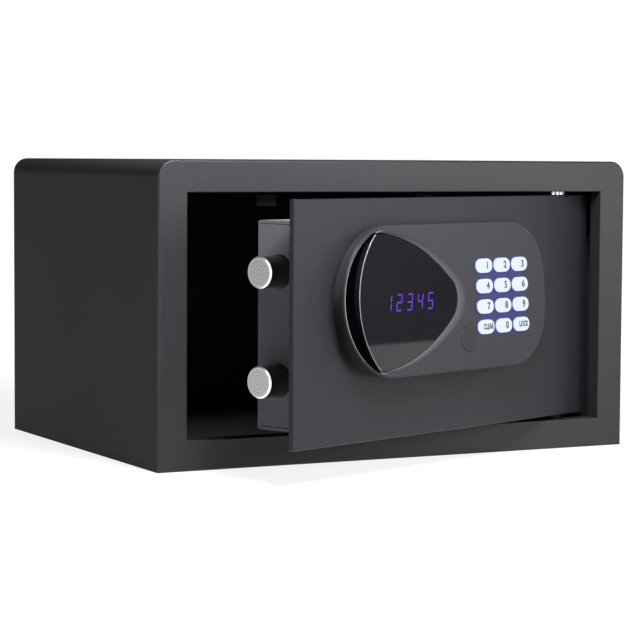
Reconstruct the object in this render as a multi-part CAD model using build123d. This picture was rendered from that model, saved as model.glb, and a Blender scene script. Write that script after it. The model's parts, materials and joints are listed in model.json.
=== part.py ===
"""An in-room safe: a sheet-steel cabinet, a hinged door with two motor-driven bolts, and a keypad lock.

Everything is in millimetres.  +X is to the right and +Y to the back as the safe is seen from the
front, and +Z is up.  The origin is the centre of the cabinet's underside.  The door and all that is
on it are drawn with the door shut, and swing() then opens them to the angle that the safe rests at.
"""
from build123d import *
from math import acos, cos, pi, radians, sin, sqrt, tan
import os

os.makedirs("parts", exist_ok=True)

# ------------------------------------------------------------------ driving dimensions
# Cabinet
width = 356.0
height = 200.0
depth = 268.0
sheet = 2.0                 # cabinet sheet steel
bend_radius = 10.5          # outside of the two long bends of the roof
band_side = 20.0            # front frame beside the doorway
band_top = 21.0             # front frame above the doorway
band_bottom = 20.0          # front frame below the doorway
lip_depth = 12.0            # the doorway's return lip, measured from the front
front_round = 1.5           # ground weld round the front
rear_round = 0.8
doorway_round = 0.7
mat_thick = 3.0
mat_gap = 1.0               # floor mat to the cabinet's walls
anchor_radius = 5.0         # clearance holes for M8 anchor bolts
base_anchor_x = 250.0
base_anchor_y = 150.0
back_anchor_x = 250.0
back_anchor_height = 100.0
mat_hole_radius = 12.0      # room for an anchor's washer

# Door plate and hinge
gap_side = 2.5
gap_top = 2.5
gap_bottom = 3.0
door_recess = 5.0           # door's face behind the cabinet's face
plate_thick = 4.0
plate_edge = 0.5            # chamfer
rest_angle = 21.7           # how far open the door stands at rest
hinge_inset = 26.0          # hinge axis from the plate's hinge edge
hinge_back = 8.0            # hinge axis behind the plate's face
pin_radius = 3.0
pin_play = 0.06             # radial running clearance
pin_chamfer = 0.4
press_play = 0.01           # radial clearance of a pressed-in pin
hinge_plate_thick = 4.0
hinge_plate_width = 50.0
hinge_plate_behind = 14.0   # hinge plate reaches this far behind the axis
collar_radius = 6.5
collar_room = 0.5           # round a collar, in the lip's notch
end_play = 0.3              # lug to collar
lug_width = 20.0
lug_tall = 20.0
lug_behind = 7.0            # lug reaches this far behind the axis

# Door stops
stop_width = 16.0
stop_from_left = 50.0       # nearer stop, from the plate's free edge
stop_spacing = 120.0
stop_drop = 9.0             # tab hangs this far below the lip
buffer_thick = 2.4
buffer_room = 0.3           # shut door to buffer

# Lock box on the back of the door
box_from_free = 20.0        # end wall from the plate's free edge
box_from_hinge = 49.0
box_from_bottom = 8.6
box_from_top = 13.8
box_depth = 43.4
box_sheet = 2.0
box_seam = 0.4              # end wall to the cover's lapping sheets
flange_width = 14.0
cover_bend = 1.6
cover_screw_inset = 15.0    # from the box's upper and lower sheets
cover_screw_side = 8.4      # from its ends
cover_screw_bite = 3.0

# Bolts and their carriage
bolt_radius = 10.0
bolt_spacing = 67.8
bolt_back = 26.0            # bolt axis behind the plate's rear face
bolt_tip_inset = 1.5        # withdrawn bolt's tip from the plate's free edge
bolt_length = 60.0
bolt_chamfer = 0.9
bolt_throw = 16.0
strike_play = 1.2           # bolt to its hole in the strike plate
bush_play = 0.06
bush_wall = 0.74
bush_flange = 2.8           # flange radius beyond the bolt
bush_flange_thick = 3.0
bush_length = 10.0
bush_set = 0.2              # bush behind the end wall's face
bush_fit = 0.05
web_thick = 3.0
web_back = 10.0             # carriage web behind the plate's rear face
web_width = 23.0
slide_play = 0.3            # carriage to the studs' shoulders
slot_play = 0.1
tongue_tall = 26.75
tongue_from_cam = 5.4       # tongue's tip to the override cam's hub
stud_radius = 3.0
stud_head = 5.0
stud_head_thick = 2.0
stud_from_tip = 23.0        # nearer stud from the tongue's tip
stud_spacing = 36.0
stud_height = -7.0          # studs from the middle of the lock box
arm_tall = 10.0             # lower arm of the carriage
finger_width = 6.2
bolt_screw_radius = 3.0
bolt_screw_grip = 14.0
bolt_head_radius = 5.0
bolt_head_thick = 3.5
bolt_hex_radius = 2.5
bolt_hex_deep = 2.0

# Rack and pinion
gear_module = 1.0
pinion_teeth = 16
pressure_angle = 20.0
backlash = 0.2
tooth_root = 1.25           # depth below the pitch line, in modules
flank_points = 5
pinion_face = 5.0
pinion_from_tip = 32.5      # from the tongue's tip, bolts withdrawn
pitch_line_height = 8.85    # rack's pitch line above the middle of the lock box
shaft_radius = 2.5
shaft_grip = 6.0            # output shaft inside the gearbox
shaft_room = 2.0
pinion_room = 0.5           # pinion to the motor's bracket

# Motor
gearbox_width = 24.0
gearbox_tall = 36.0
gearbox_thick = 11.0
gearbox_below = 10.0        # gearbox reaches this far below its shaft
gearbox_round = 3.0
motor_radius = 10.0
motor_length = 13.4
motor_round = 1.5
motor_inset = 2.0           # motor below the gearbox's top
bracket_sheet = 2.0
bracket_width = 36.0
bracket_foot = 8.0
bracket_leg_tall = 28.0
bracket_leg_below = 2.0     # legs start this far below the shaft
bracket_below = 13.0        # bridge starts this far below it
bracket_above = 2.0         # bridge above the legs
bracket_hole = 5.0

# Keypad housing on the door's face
housing_shift = -12.5       # its middle from the plate's middle
housing_width = 213.0
housing_tall = 96.6
housing_lift = 11.45        # housing's middle above the plate's middle
housing_rise = 9.0          # its face above the plate, at its middle
face_tilt = 3.55            # the face leans back at the top
housing_bow = 4.0           # right-hand side bulges by this much
housing_corner = 38.0
housing_wall = 2.2
housing_seat = 0.05         # paint between the plate and the housing
housing_round = 1.1
rim_wall = 1.5              # wall left between the finger recess and the outside
recess_floor = 5.8          # floor of the finger recess below the face
recess_wall = 1.4           # its floor and inner wall

# Lens
lens_left = 16.2            # middle of its left edge, from the housing's left end
lens_tip = 35.5             # its upper and lower tips
lens_tip_inset = 4.3        # its tips from the housing's upper and lower edges
lens_nose = 115.9           # the end of its nose
lens_nose_radius = 17.0
lens_flank_radius = 126.0
lens_sink = 1.0             # lens below the face
lens_thick = 1.8
lens_seat = 1.2             # housing left behind the lens
lens_skirt = 1.6            # thickness of its turned-down left edge
lens_gap = 0.12
ramp_width = 8.5            # sloping border round the lens's nose
ramp_over = 0.02            # border carried just past the face
lens_round = 0.35
liner_gap = 0.15
liner_thick = 1.0

# Keys
key_columns = 3
key_rows = 4
key_centre = 163.5          # middle column, from the housing's left end
key_centre_drop = 0.5       # keypad's middle below the housing's middle
key_pitch_x = 19.7
key_pitch_y = 13.5
key_wide = 18.3
key_tall = 9.6
key_corner = 4.4
key_proud = 0.8
key_gap = 0.3
key_travel = 1.0
key_round = 0.5
key_stem_gap = 0.1          # pressed stem to its dome
key_flange = 0.45           # flange beyond the cap
key_flange_thick = 1.0
key_stem_radius = 1.8

# Boards behind the keys and the lens
board_thick = 1.6
board_below = 6.8           # back of the keypad board below the housing's face
board_margin = 3.5
guide_thick = 0.5
guide_margin = 1.0          # guide beyond the keys
dome_radius = 2.0
dome_thick = 0.4
dome_room = 0.8             # round a dome, in the guide
display_from_left = 69.7
display_wide = 54.0
display_tall = 19.0
display_lift = -0.8
display_rim = 1.0           # board beyond the digit block
display_gap = 0.2

# Override lock and its cover
key_lock_from_left = 124.9
key_lock_rise = 20.9        # above the housing's lower edge
plug_radius = 8.2
plug_gap = 0.3
plug_proud = 0.25
plug_thick = 1.8
plug_round = 0.4
plug_room = 1.0             # its spigot to the barrel's mouth
barrel_radius = 8.8
barrel_hole_play = 0.15
barrel_front = 3.4          # barrel's mouth above the plate's face
barrel_nut_across = 24.0
barrel_nut_thick = 4.0
core_radius = 5.0
core_play = 0.05
keyway_wide = 2.0
keyway_tall = 7.0
keyway_deep = 12.0
tail_square = 4.0           # core's tail
tail_proud = 1.5
tail_play = 0.02
cam_hub = 5.5
cam_reach = 22.0
cam_arm = 6.0
cam_touch = 0.3             # cam's arm to the carriage's finger
cam_room = 1.0              # cam's arm to the carriage's lower arm

# Power, wiring and reset
cell_radius = 7.1
cell_length = 50.0
cell_count = 4
cell_pitch = 14.8
cell_nub = 1.5
cell_nub_radius = 2.6
cell_round = 0.6
cell_from_cover = 3.4       # room between the cells and the lid
contact_wide = 10.0
tray_wall = 2.0
tray_end = 4.0
tray_from_right = 26.0      # tray from the hinge-side end wall
tray_from_floor = 3.0       # tray from the lock box's lower sheet
lid_lap = 3.0
lid_thick = 2.0
lid_gap = 0.3
lid_edge = 0.6
spigot_wall = 1.6
spigot_tall = 3.0           # behind the lid's plate
grip_long = 20.0            # slot for a fingernail
grip_wide = 1.4
grip_deep = 1.0
grip_from_top = 9.0
control_wide = 42.0
control_tall = 52.0
control_back = 8.0          # control board behind the plate's rear face
control_inset = 4.0         # from the box's roof
control_gap = 1.0           # from the end wall's flange
standoff_radius = 3.0
standoff_inset = 4.0        # from the board's edges
parts_inset = 6.0           # parts from the board's edges
chip_wide = 14.0
chip_thick = 3.0
relay_wide = 12.0
relay_thick = 7.0
relay_drop = 12.0
capacitor_radius = 4.0
capacitor_tall = 9.0
switch_wide = 6.0
switch_tall = 6.0
socket_wide = 12.0          # cable's socket
socket_tall = 6.0
socket_deep = 3.0
ribbon_wide = 8.0
ribbon_thick = 0.5
ribbon_from_left = 185.5
ribbon_height = 37.2        # cable hole above the housing's middle
ribbon_hole = 6.0
ribbon_gap = 0.2            # cable to the light guide
reset_radius = 4.0
reset_travel = 1.5
reset_play = 0.3
reset_gap = 0.3
reset_flange = 1.4
reset_flange_thick = 1.4
reset_stem_radius = 1.5
reset_round = 0.5
reset_proud = 1.0
reset_from_right = 28.0
reset_height = 33.0         # above the middle of the lock box

# Small screws
screw_radius = 2.0
screw_head = 3.8
screw_head_thick = 2.4
screw_head_round = 1.0
screw_play = 0.25           # radial, where a screw passes through
thread_play = 0.05          # radial, where it grips
screw_end = 0.5
drive_long = 3.8            # cross slot
drive_wide = 0.8
drive_deep = 1.0
boss_radius = 4.0
boss_left = 43.5            # from the housing's left end
boss_left_rise = 25.0       # above and below the housing's middle
boss_right = 163.5
boss_right_rise = 37.3
screw_bite = 3.0

RIGHT, INWARD, UP = (1, 0, 0), (0, 1, 0), (0, 0, 1)

# ------------------------------------------------------------------ derived places
front = -depth / 2
rear = depth / 2
doorway_left = -width / 2 + band_side
doorway_right = width / 2 - band_side
doorway_bottom = band_bottom
doorway_top = height - band_top

plate_left = doorway_left + gap_side
plate_right = doorway_right - gap_side
plate_bottom = doorway_bottom + gap_bottom
plate_top = doorway_top - gap_top
plate_front = front + door_recess
plate_rear = plate_front + plate_thick
hinge_x = plate_right - hinge_inset
hinge_y = plate_front + hinge_back

box_left = plate_left + box_from_free
box_right = plate_right - box_from_hinge
box_bottom = plate_bottom + box_from_bottom
box_top = plate_top - box_from_top
box_middle = (box_bottom + box_top) / 2
box_rear = plate_rear + box_depth
box_inside = box_rear - box_sheet

bolt_y = plate_rear + bolt_back
bolt_tip = plate_left + bolt_tip_inset
bolt_end = bolt_tip + bolt_length
bolt_heights = [box_middle + bolt_spacing / 2, box_middle - bolt_spacing / 2]
flange_right = bolt_end + web_thick
web_y = plate_rear + web_back
web_rear = web_y + web_thick
tongue_left = bolt_end + web_width
rack_pitch = box_middle + pitch_line_height
pinion_radius = gear_module * pinion_teeth / 2
pinion_z = rack_pitch + pinion_radius
pinion_y = web_y + web_thick / 2 - pinion_face / 2

housing_left = (plate_left + plate_right - housing_width) / 2 + housing_shift
housing_right = housing_left + housing_width
housing_middle = (plate_bottom + plate_top) / 2 + housing_lift
face_y = plate_front - housing_rise
lens_tip_height = housing_tall / 2 - lens_tip_inset
key_lock_drop = housing_tall / 2 - key_lock_rise
key_lock_x = housing_left + key_lock_from_left
key_lock_z = housing_middle - key_lock_drop
cam_y = web_y
tongue_right = key_lock_x - cam_hub - tongue_from_cam
pinion_x = tongue_right - pinion_from_tip
control_y = plate_rear + control_back
tray_right = box_right - tray_from_right
tray_left = tray_right - cell_length - 2 * tray_end
tray_bottom = box_bottom + box_sheet + tray_from_floor
tray_top = tray_bottom + cell_count * cell_pitch + 2 * tray_wall
cell_y = box_inside - cell_pitch / 2 - cell_from_cover
tray_floor = cell_y - cell_pitch / 2 - tray_wall

# The keypad housing's face: x to the right, y up the face, z out of it.
face = Plane(origin=(0, face_y, housing_middle), x_dir=RIGHT,
             z_dir=(0, -cos(radians(face_tilt)), sin(radians(face_tilt))))


# ------------------------------------------------------------------ helpers
def block(x0, x1, y0, y1, z0, z1):
    """A box from its lowest to its highest corner."""
    return Pos((x0 + x1) / 2, (y0 + y1) / 2, (z0 + z1) / 2) * Box(x1 - x0, y1 - y0, z1 - z0)


def rod(x, y, z, along, length, radius):
    """A round bar that starts at a point and runs along X, Y or Z."""
    start = Plane(origin=(x, y, z), z_dir=along)
    return start * Cylinder(radius, length, align=(Align.CENTER, Align.CENTER, Align.MIN))


def slab(outline, y0, y1):
    """An outline drawn as seen from the front, made solid from y0 back to y1."""
    sheet_plane = Plane(origin=(0, y1, 0), x_dir=RIGHT, z_dir=(0, -1, 0))
    return extrude(sheet_plane * outline, y1 - y0)


def on_face(outline, low, high):
    """An outline drawn on the keypad housing's face, made solid between two heights over it."""
    return face * (Pos(0, 0, low) * extrude(outline, high - low))


def window(left, right, bottom, top):
    """A rectangle between two corners."""
    return Pos((left + right) / 2, (bottom + top) / 2) * Rectangle(right - left, top - bottom)


def arch(left, right, bottom, top, radius):
    """A rectangle whose two upper corners are round."""
    outline = window(left, right, bottom, top)
    return fillet(outline.vertices().sort_by(Axis.Y)[-2:], radius)


def swing(shape):
    """The door's pieces, turned about the hinge from shut to the angle they rest at."""
    return Pos(hinge_x, hinge_y, 0) * Rot(0, 0, rest_angle) * Pos(-hinge_x, -hinge_y, 0) * shape


def save(name, shape):
    """Writes a piece of the cabinet."""
    solids = shape.solids()
    export_step(solids[0] if len(solids) == 1 else Compound(children=list(solids)), f"parts/{name}.step")


def save_on_door(name, shape):
    """Writes a piece of the door, at the door's rest angle."""
    save(name, swing(shape))


# ------------------------------------------------------------------ cabinet
def cabinet_outline(inset=0.0):
    return arch(-width / 2 + inset, width / 2 - inset, inset, height - inset, bend_radius - inset)


def wrap_shell():
    """Roof and both sides, bent from one sheet."""
    inner = arch(-width / 2 + sheet, width / 2 - sheet, -sheet, height - sheet, bend_radius - sheet)
    return slab(cabinet_outline() - inner, front + sheet, rear - sheet)


def back_panel():
    panel = slab(cabinet_outline(), rear - sheet, rear)
    panel = fillet(panel.edges().group_by(Axis.Y)[-1], rear_round)
    for side in (-1, 1):
        hole_x = side * back_anchor_x / 2
        panel -= rod(hole_x, rear - 2 * sheet, back_anchor_height, INWARD, 3 * sheet, anchor_radius)
    return panel


def base_anchor_holes(z0, z1, radius):
    holes = []
    for side in (-1, 1):
        for end in (-1, 1):
            holes.append(rod(side * base_anchor_x / 2, end * base_anchor_y / 2, z0, UP, z1 - z0, radius))
    return holes


def base_plate():
    plate = block(-width / 2 + sheet, width / 2 - sheet, front + sheet, rear - sheet, 0, sheet)
    return plate - base_anchor_holes(-sheet, 2 * sheet, anchor_radius)


def front_frame():
    """The face of the cabinet, with a return lip round the doorway notched for the hinge collars."""
    panel = slab(cabinet_outline(), front, front + sheet)
    panel = fillet(panel.edges().group_by(Axis.Y)[0], front_round)
    doorway = window(doorway_left, doorway_right, doorway_bottom, doorway_top)
    lip = window(doorway_left - sheet, doorway_right + sheet, doorway_bottom - sheet, doorway_top + sheet)
    frame = panel + slab(lip, front + sheet / 2, front + lip_depth)
    frame -= slab(doorway, front - sheet, front + 2 * lip_depth)
    mouth = frame.edges().group_by(Axis.Y)[0]
    mouth = [edge for edge in mouth if abs(edge.center().X) < width / 2 - band_side + sheet / 2
             and band_bottom - sheet / 2 < edge.center().Z < height - band_top + sheet / 2]
    frame = fillet(mouth, doorway_round)
    notch = collar_radius + collar_room
    frame -= rod(hinge_x, hinge_y, doorway_top - sheet, UP, 3 * sheet, notch)
    frame -= rod(hinge_x, hinge_y, doorway_bottom - 2 * sheet, UP, 3 * sheet, notch)
    return frame


def hinge_plate(z0):
    """The bored plate welded to the lip that holds a hinge pin."""
    plate = block(hinge_x - hinge_plate_width / 2, hinge_x + hinge_plate_width / 2,
                  front + sheet, hinge_y + hinge_plate_behind, z0, z0 + hinge_plate_thick)
    bore = rod(hinge_x, hinge_y, z0 - sheet, UP, hinge_plate_thick + 2 * sheet, pin_radius + pin_play)
    return plate - bore


def hinge_collars():
    """Two bright spacers round the pins, between the hinge plates and the door's lugs."""
    collars = []
    for z0, z1 in ((doorway_bottom - sheet, plate_bottom - end_play),
                   (plate_top + end_play, doorway_top + sheet)):
        ring = rod(hinge_x, hinge_y, z0, UP, z1 - z0, collar_radius)
        collars.append(ring - rod(hinge_x, hinge_y, z0, UP, z1 - z0, pin_radius + 2 * pin_play))
    return Compound(children=collars)


def strike_plate():
    """The upright behind the free-side lip, with a hole for each bolt."""
    right = doorway_left - sheet
    plate = block(right - sheet, right, front + sheet, box_rear + sheet, doorway_bottom, doorway_top)
    for bolt_z in bolt_heights:
        plate -= rod(right - 2 * sheet, bolt_y, bolt_z, RIGHT, 3 * sheet, bolt_radius + strike_play)
    return plate


def stop_places():
    return [plate_left + stop_from_left + index * stop_spacing for index in range(2)]


def door_stops():
    """Tabs behind the upper lip that carry the rubber buffers."""
    tabs = []
    tab_front = plate_rear + buffer_room + buffer_thick
    for left in stop_places():
        tab = block(left, left + stop_width, tab_front, tab_front + sheet,
                    doorway_top - stop_drop, doorway_top + 2 * sheet)
        tab += block(left, left + stop_width, front + lip_depth / 2, tab_front + sheet,
                     doorway_top + sheet, doorway_top + 2 * sheet)
        tabs.append(tab - block(left - 1, left + stop_width + 1, front, front + lip_depth,
                                doorway_top, doorway_top + sheet))
    return Compound(children=tabs)


def stop_buffers():
    pads = []
    for left in stop_places():
        pads.append(block(left + 1, left + stop_width - 1, plate_rear + buffer_room,
                          plate_rear + buffer_room + buffer_thick,
                          doorway_top - stop_drop, doorway_top - gap_top / 2))
    return Compound(children=pads)


def floor_mat():
    half = width / 2 - sheet - mat_gap
    mat = block(-half, half, front + lip_depth + mat_gap, rear - sheet - mat_gap, sheet, sheet + mat_thick)
    return mat - base_anchor_holes(0, 3 * sheet + mat_thick, mat_hole_radius)


# ------------------------------------------------------------------ door, hinge side and lock box
def housing_boss_places():
    places = []
    for from_left, rise in ((boss_left, boss_left_rise), (boss_right, boss_right_rise)):
        for side in (-1, 1):
            places.append((housing_left + from_left, housing_middle + side * rise))
    return places


def door_plate():
    plate = block(plate_left, plate_right, plate_front, plate_rear, plate_bottom, plate_top)
    plate = chamfer(plate.edges(), plate_edge)
    through = plate_thick + 2
    plate -= rod(key_lock_x, plate_front - 1, key_lock_z, INWARD, through, barrel_radius + barrel_hole_play)
    plate -= rod(housing_left + ribbon_from_left, plate_front - 1, housing_middle + ribbon_height, INWARD,
                 through, ribbon_hole)
    for x, z in housing_boss_places():
        plate -= rod(x, plate_front - 1, z, INWARD, through, screw_radius + screw_play)
    return plate


def hinge_lug(z0):
    """A block welded behind the plate, with a hinge pin pressed through it."""
    lug = block(hinge_x - lug_width / 2, hinge_x + lug_width / 2, plate_rear, hinge_y + lug_behind,
                z0, z0 + lug_tall)
    lug = chamfer(lug.edges().group_by(Axis.Y)[-1], 1.0)
    return lug - rod(hinge_x, hinge_y, z0, UP, lug_tall, pin_radius + press_play)


def hinge_pins():
    """The upper and lower pins, from inside the lugs to the far faces of the hinge plates."""
    lower = doorway_bottom - sheet - hinge_plate_thick
    upper = doorway_top + sheet + hinge_plate_thick
    pins = []
    for z0, z1 in ((lower, plate_bottom + lug_tall), (plate_top - lug_tall, upper)):
        pin = rod(hinge_x, hinge_y, z0, UP, z1 - z0, pin_radius)
        pins.append(chamfer(pin.edges().filter_by(GeomType.CIRCLE), pin_chamfer))
    return Compound(children=pins)


def end_wall(outer_x, inward):
    """An end of the lock box with its two flanges; inward is +1 when the box lies to its right."""
    inner_x = outer_x + inward * box_sheet
    tip_x = outer_x + inward * flange_width
    z0 = box_bottom + box_sheet + box_seam
    z1 = box_top - box_sheet - box_seam
    wall = block(min(outer_x, inner_x), max(outer_x, inner_x), plate_rear, box_inside, z0, z1)
    for y0, y1 in ((plate_rear, plate_rear + box_sheet), (box_inside - box_sheet, box_inside)):
        wall += block(min(outer_x, tip_x), max(outer_x, tip_x), y0, y1, z0, z1)
    for x, z in cover_screw_places():
        wall -= rod(x, box_inside - 2 * box_sheet, z, INWARD, 3 * box_sheet, screw_radius + thread_play)
    return wall


def bolt_end_wall():
    wall = end_wall(box_left, 1)
    for bolt_z in bolt_heights:
        hole = bolt_radius + bush_play + bush_wall + bush_fit
        wall -= rod(box_left - 1, bolt_y, bolt_z, RIGHT, box_sheet + 2, hole)
    return wall


def cover_screw_places():
    columns = (box_left + cover_screw_side, box_right - cover_screw_side)
    rows = (box_bottom + cover_screw_inset, box_middle, box_top - cover_screw_inset)
    return [(x, z) for x in columns for z in rows]


def battery_mouth(grow):
    return window(tray_left + tray_wall - grow, tray_right - tray_wall + grow,
                  tray_bottom + tray_wall - grow, tray_top - tray_wall + grow)


def reset_place():
    return box_right - reset_from_right, box_middle + reset_height


def box_cover():
    """Top, back and bottom of the lock box, bent from one sheet and screwed to the end walls."""
    cover = block(box_left, box_right, plate_rear, box_rear, box_bottom, box_top)
    cover = fillet(cover.edges().filter_by(Axis.X).sort_by(Axis.Y)[-2:], cover_bend)
    cover -= block(box_left - 1, box_right + 1, plate_rear - 1, box_inside,
                   box_bottom + box_sheet, box_top - box_sheet)
    cover -= slab(battery_mouth(0), box_inside - 1, box_rear + 1)
    for x, z in cover_screw_places():
        cover -= rod(x, box_inside - 1, z, INWARD, box_sheet + 2, screw_radius + screw_play)
    reset_x, reset_z = reset_place()
    return cover - rod(reset_x, box_inside - 1, reset_z, INWARD, box_sheet + 2, reset_radius + reset_play)


def pan_screw(x, y, z, grip):
    """A cross-slotted screw driven in from behind; its head lies on the plane y."""
    head = rod(x, y, z, INWARD, screw_head_thick, screw_head)
    head = fillet(head.edges().group_by(Axis.Y)[-1], screw_head_round)
    shank = rod(x, y - grip, z, INWARD, grip, screw_radius)
    drive_y = y + screw_head_thick - drive_deep
    drive = Rectangle(drive_long, drive_wide) + Rectangle(drive_wide, drive_long)
    return head + shank - slab(Pos(x, z) * drive, drive_y, y + screw_head_thick + 1)


def cover_screws():
    grip = 2 * box_sheet + cover_screw_bite
    return Compound(children=[pan_screw(x, box_rear, z, grip) for x, z in cover_screw_places()])


# ------------------------------------------------------------------ bolts, carriage and drive
def bolt(bolt_z):
    bar = rod(bolt_tip, bolt_y, bolt_z, RIGHT, bolt_length, bolt_radius)
    bar = chamfer(bar.edges().group_by(Axis.X)[0], bolt_chamfer)
    socket = rod(bolt_end - bolt_screw_grip - 1, bolt_y, bolt_z, RIGHT, bolt_screw_grip + 2,
                 bolt_screw_radius + thread_play)
    return bar - socket


def bolt_bushes():
    """Plastic guides: a spigot in the end wall's hole and a flange behind it."""
    bushes = []
    for bolt_z in bolt_heights:
        spigot_radius = bolt_radius + bush_play + bush_wall
        bush = rod(box_left + bush_set, bolt_y, bolt_z, RIGHT, bush_length, spigot_radius)
        bush += rod(box_left + box_sheet, bolt_y, bolt_z, RIGHT, bush_flange_thick,
                    bolt_radius + bush_flange)
        bore = rod(box_left, bolt_y, bolt_z, RIGHT, bush_length + 1, bolt_radius + bush_play)
        bushes.append(bush - bore)
    return Compound(children=bushes)


def stud_places():
    """Guide studs; each stands at the left end of its slot while the bolts are withdrawn."""
    last = tongue_right - stud_from_tip
    return [(last - index * stud_spacing, box_middle + stud_height) for index in range(2)]


def bolt_carriage():
    """The plate that carries both bolts, with a rack, two slots and the finger the override cam pulls."""
    lower_arm_top = key_lock_z - cam_reach - cam_room
    lower_arm_bottom = lower_arm_top - arm_tall
    upper_end = bolt_heights[0] + bolt_radius + 2
    rack_root = rack_pitch - tooth_root * gear_module
    tongue_bottom = rack_root - tongue_tall
    finger_left = key_lock_x + cam_reach + cam_touch
    outline = window(bolt_end, tongue_left, lower_arm_bottom, upper_end)
    outline += window(tongue_left, tongue_right, tongue_bottom, rack_root)
    outline += window(bolt_end, finger_left + finger_width, lower_arm_bottom, lower_arm_top)
    outline += window(finger_left, finger_left + finger_width, lower_arm_bottom, key_lock_z + cam_hub)
    slot_high = 2 * (stud_radius + slot_play)
    for x, z in stud_places():
        slot_long = bolt_throw + slot_high
        outline -= Pos(x + bolt_throw / 2, z) * SlotOverall(slot_long + 2 * slot_play, slot_high)
    carriage = slab(outline + rack_teeth(), web_y, web_rear)
    flange = block(bolt_end, flange_right, web_y, bolt_y + bolt_radius + 1, lower_arm_bottom, upper_end)
    carriage += flange
    for bolt_z in bolt_heights:
        carriage -= rod(bolt_end - 1, bolt_y, bolt_z, RIGHT, web_thick + 2, bolt_screw_radius + thread_play)
    return carriage


def rack_teeth():
    """Straight-sided teeth, with a space under the pinion's centre while the bolts are withdrawn."""
    pitch = pi * gear_module
    half_thick = pitch / 4 - backlash / 4
    lean = tan(radians(pressure_angle))
    foot = half_thick + tooth_root * gear_module * lean
    crest = half_thick - gear_module * lean
    root = rack_pitch - tooth_root * gear_module
    tip = rack_pitch + gear_module
    teeth = Sketch()
    first = int((tongue_left + foot - pinion_x) / pitch - 0.5) + 1
    last = int((tongue_right - foot - pinion_x) / pitch - 0.5)
    for index in range(first, last + 1):
        x = pinion_x + (index + 0.5) * pitch
        tooth = Polyline((x - foot, root - 0.5), (x - foot, root), (x - crest, tip), (x + crest, tip),
                         (x + foot, root), (x + foot, root - 0.5), close=True)
        teeth += make_face(tooth)
    return teeth


def pinion_outline():
    """Involute teeth, one of them pointing straight down into the rack."""
    base = pinion_radius * cos(radians(pressure_angle))
    tip = pinion_radius + gear_module
    root = pinion_radius - tooth_root * gear_module
    flare = tan(radians(pressure_angle)) - radians(pressure_angle)
    half_at_base = (pi / 2 - backlash / (2 * gear_module)) / pinion_teeth + flare
    points = []
    for tooth in range(pinion_teeth):
        middle = 2 * pi * tooth / pinion_teeth - pi / 2
        flank = [(root, half_at_base)]
        for step in range(flank_points + 1):
            radius = base + (tip - base) * step / flank_points
            roll = sqrt((radius / base) ** 2 - 1)
            flank.append((radius, half_at_base - (roll - acos(base / radius))))
        for radius, half in flank:
            points.append((radius * cos(middle - half), radius * sin(middle - half)))
        for radius, half in reversed(flank):
            points.append((radius * cos(middle + half), radius * sin(middle + half)))
    return Pos(pinion_x, pinion_z) * make_face(Polyline(*points, close=True))


def drive_pinion():
    """The pinion with the gearbox's output shaft."""
    pinion = slab(pinion_outline(), pinion_y, pinion_y + pinion_face)
    shaft_long = gearbox_y() + shaft_grip - pinion_y
    return pinion + rod(pinion_x, pinion_y, pinion_z, INWARD, shaft_long, shaft_radius)


def gearbox_y():
    return pinion_y + pinion_face + pinion_room + bracket_sheet


def gearbox():
    y0 = gearbox_y()
    case = block(pinion_x - gearbox_width / 2, pinion_x + gearbox_width / 2, y0, y0 + gearbox_thick,
                 pinion_z - gearbox_below, pinion_z - gearbox_below + gearbox_tall)
    case = fillet(case.edges().filter_by(Axis.Y), gearbox_round)
    return case - rod(pinion_x, y0 - 1, pinion_z, INWARD, shaft_grip + shaft_room, shaft_radius + core_play)


def drive_motor():
    y0 = gearbox_y() + gearbox_thick
    centre_z = pinion_z - gearbox_below + gearbox_tall - motor_radius - motor_inset
    can = rod(pinion_x, y0, centre_z, INWARD, motor_length, motor_radius)
    return fillet(can.edges().group_by(Axis.Y)[-1], motor_round)


def motor_bracket():
    """A bridge over the pinion, with a leg and a foot at each side."""
    back = gearbox_y()
    bridge_left = pinion_x - bracket_width / 2
    bridge_right = pinion_x + bracket_width / 2
    leg_bottom = pinion_z - bracket_leg_below
    leg_top = leg_bottom + bracket_leg_tall
    bracket = block(bridge_left, bridge_right, back - bracket_sheet, back,
                    pinion_z - bracket_below, leg_top + bracket_above)
    for edge_x, outward in ((bridge_left, -1), (bridge_right, 1)):
        leg_x = edge_x + outward * bracket_sheet
        foot_x = leg_x + outward * bracket_foot
        bracket += block(min(edge_x, leg_x), max(edge_x, leg_x), plate_rear, back, leg_bottom, leg_top)
        bracket += block(min(edge_x, foot_x), max(edge_x, foot_x), plate_rear,
                         plate_rear + bracket_sheet, leg_bottom, leg_top)
    return bracket - rod(pinion_x, back - 2 * bracket_sheet, pinion_z, INWARD, 4 * bracket_sheet,
                         bracket_hole)


def guide_studs():
    """Shouldered studs on the door plate that carry the carriage."""
    studs = []
    for x, z in stud_places():
        stud = rod(x, plate_rear, z, INWARD, web_back - slide_play, stud_head)
        stud += rod(x, plate_rear, z, INWARD, web_back + web_thick + slide_play, stud_radius)
        stud += rod(x, web_rear + slide_play, z, INWARD, stud_head_thick, stud_head)
        studs.append(stud)
    return Compound(children=studs)


def bolt_screws():
    """Screws through the carriage's flange into the bolts."""
    screws = []
    for bolt_z in bolt_heights:
        screw = rod(flange_right - web_thick - bolt_screw_grip, bolt_y, bolt_z, RIGHT,
                    bolt_screw_grip + web_thick, bolt_screw_radius)
        head = rod(flange_right, bolt_y, bolt_z, RIGHT, bolt_head_thick, bolt_head_radius)
        screw += head - rod(flange_right + bolt_head_thick - bolt_hex_deep, bolt_y, bolt_z, RIGHT,
                            2 * bolt_hex_deep, bolt_hex_radius)
        screws.append(screw)
    return Compound(children=screws)


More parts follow.
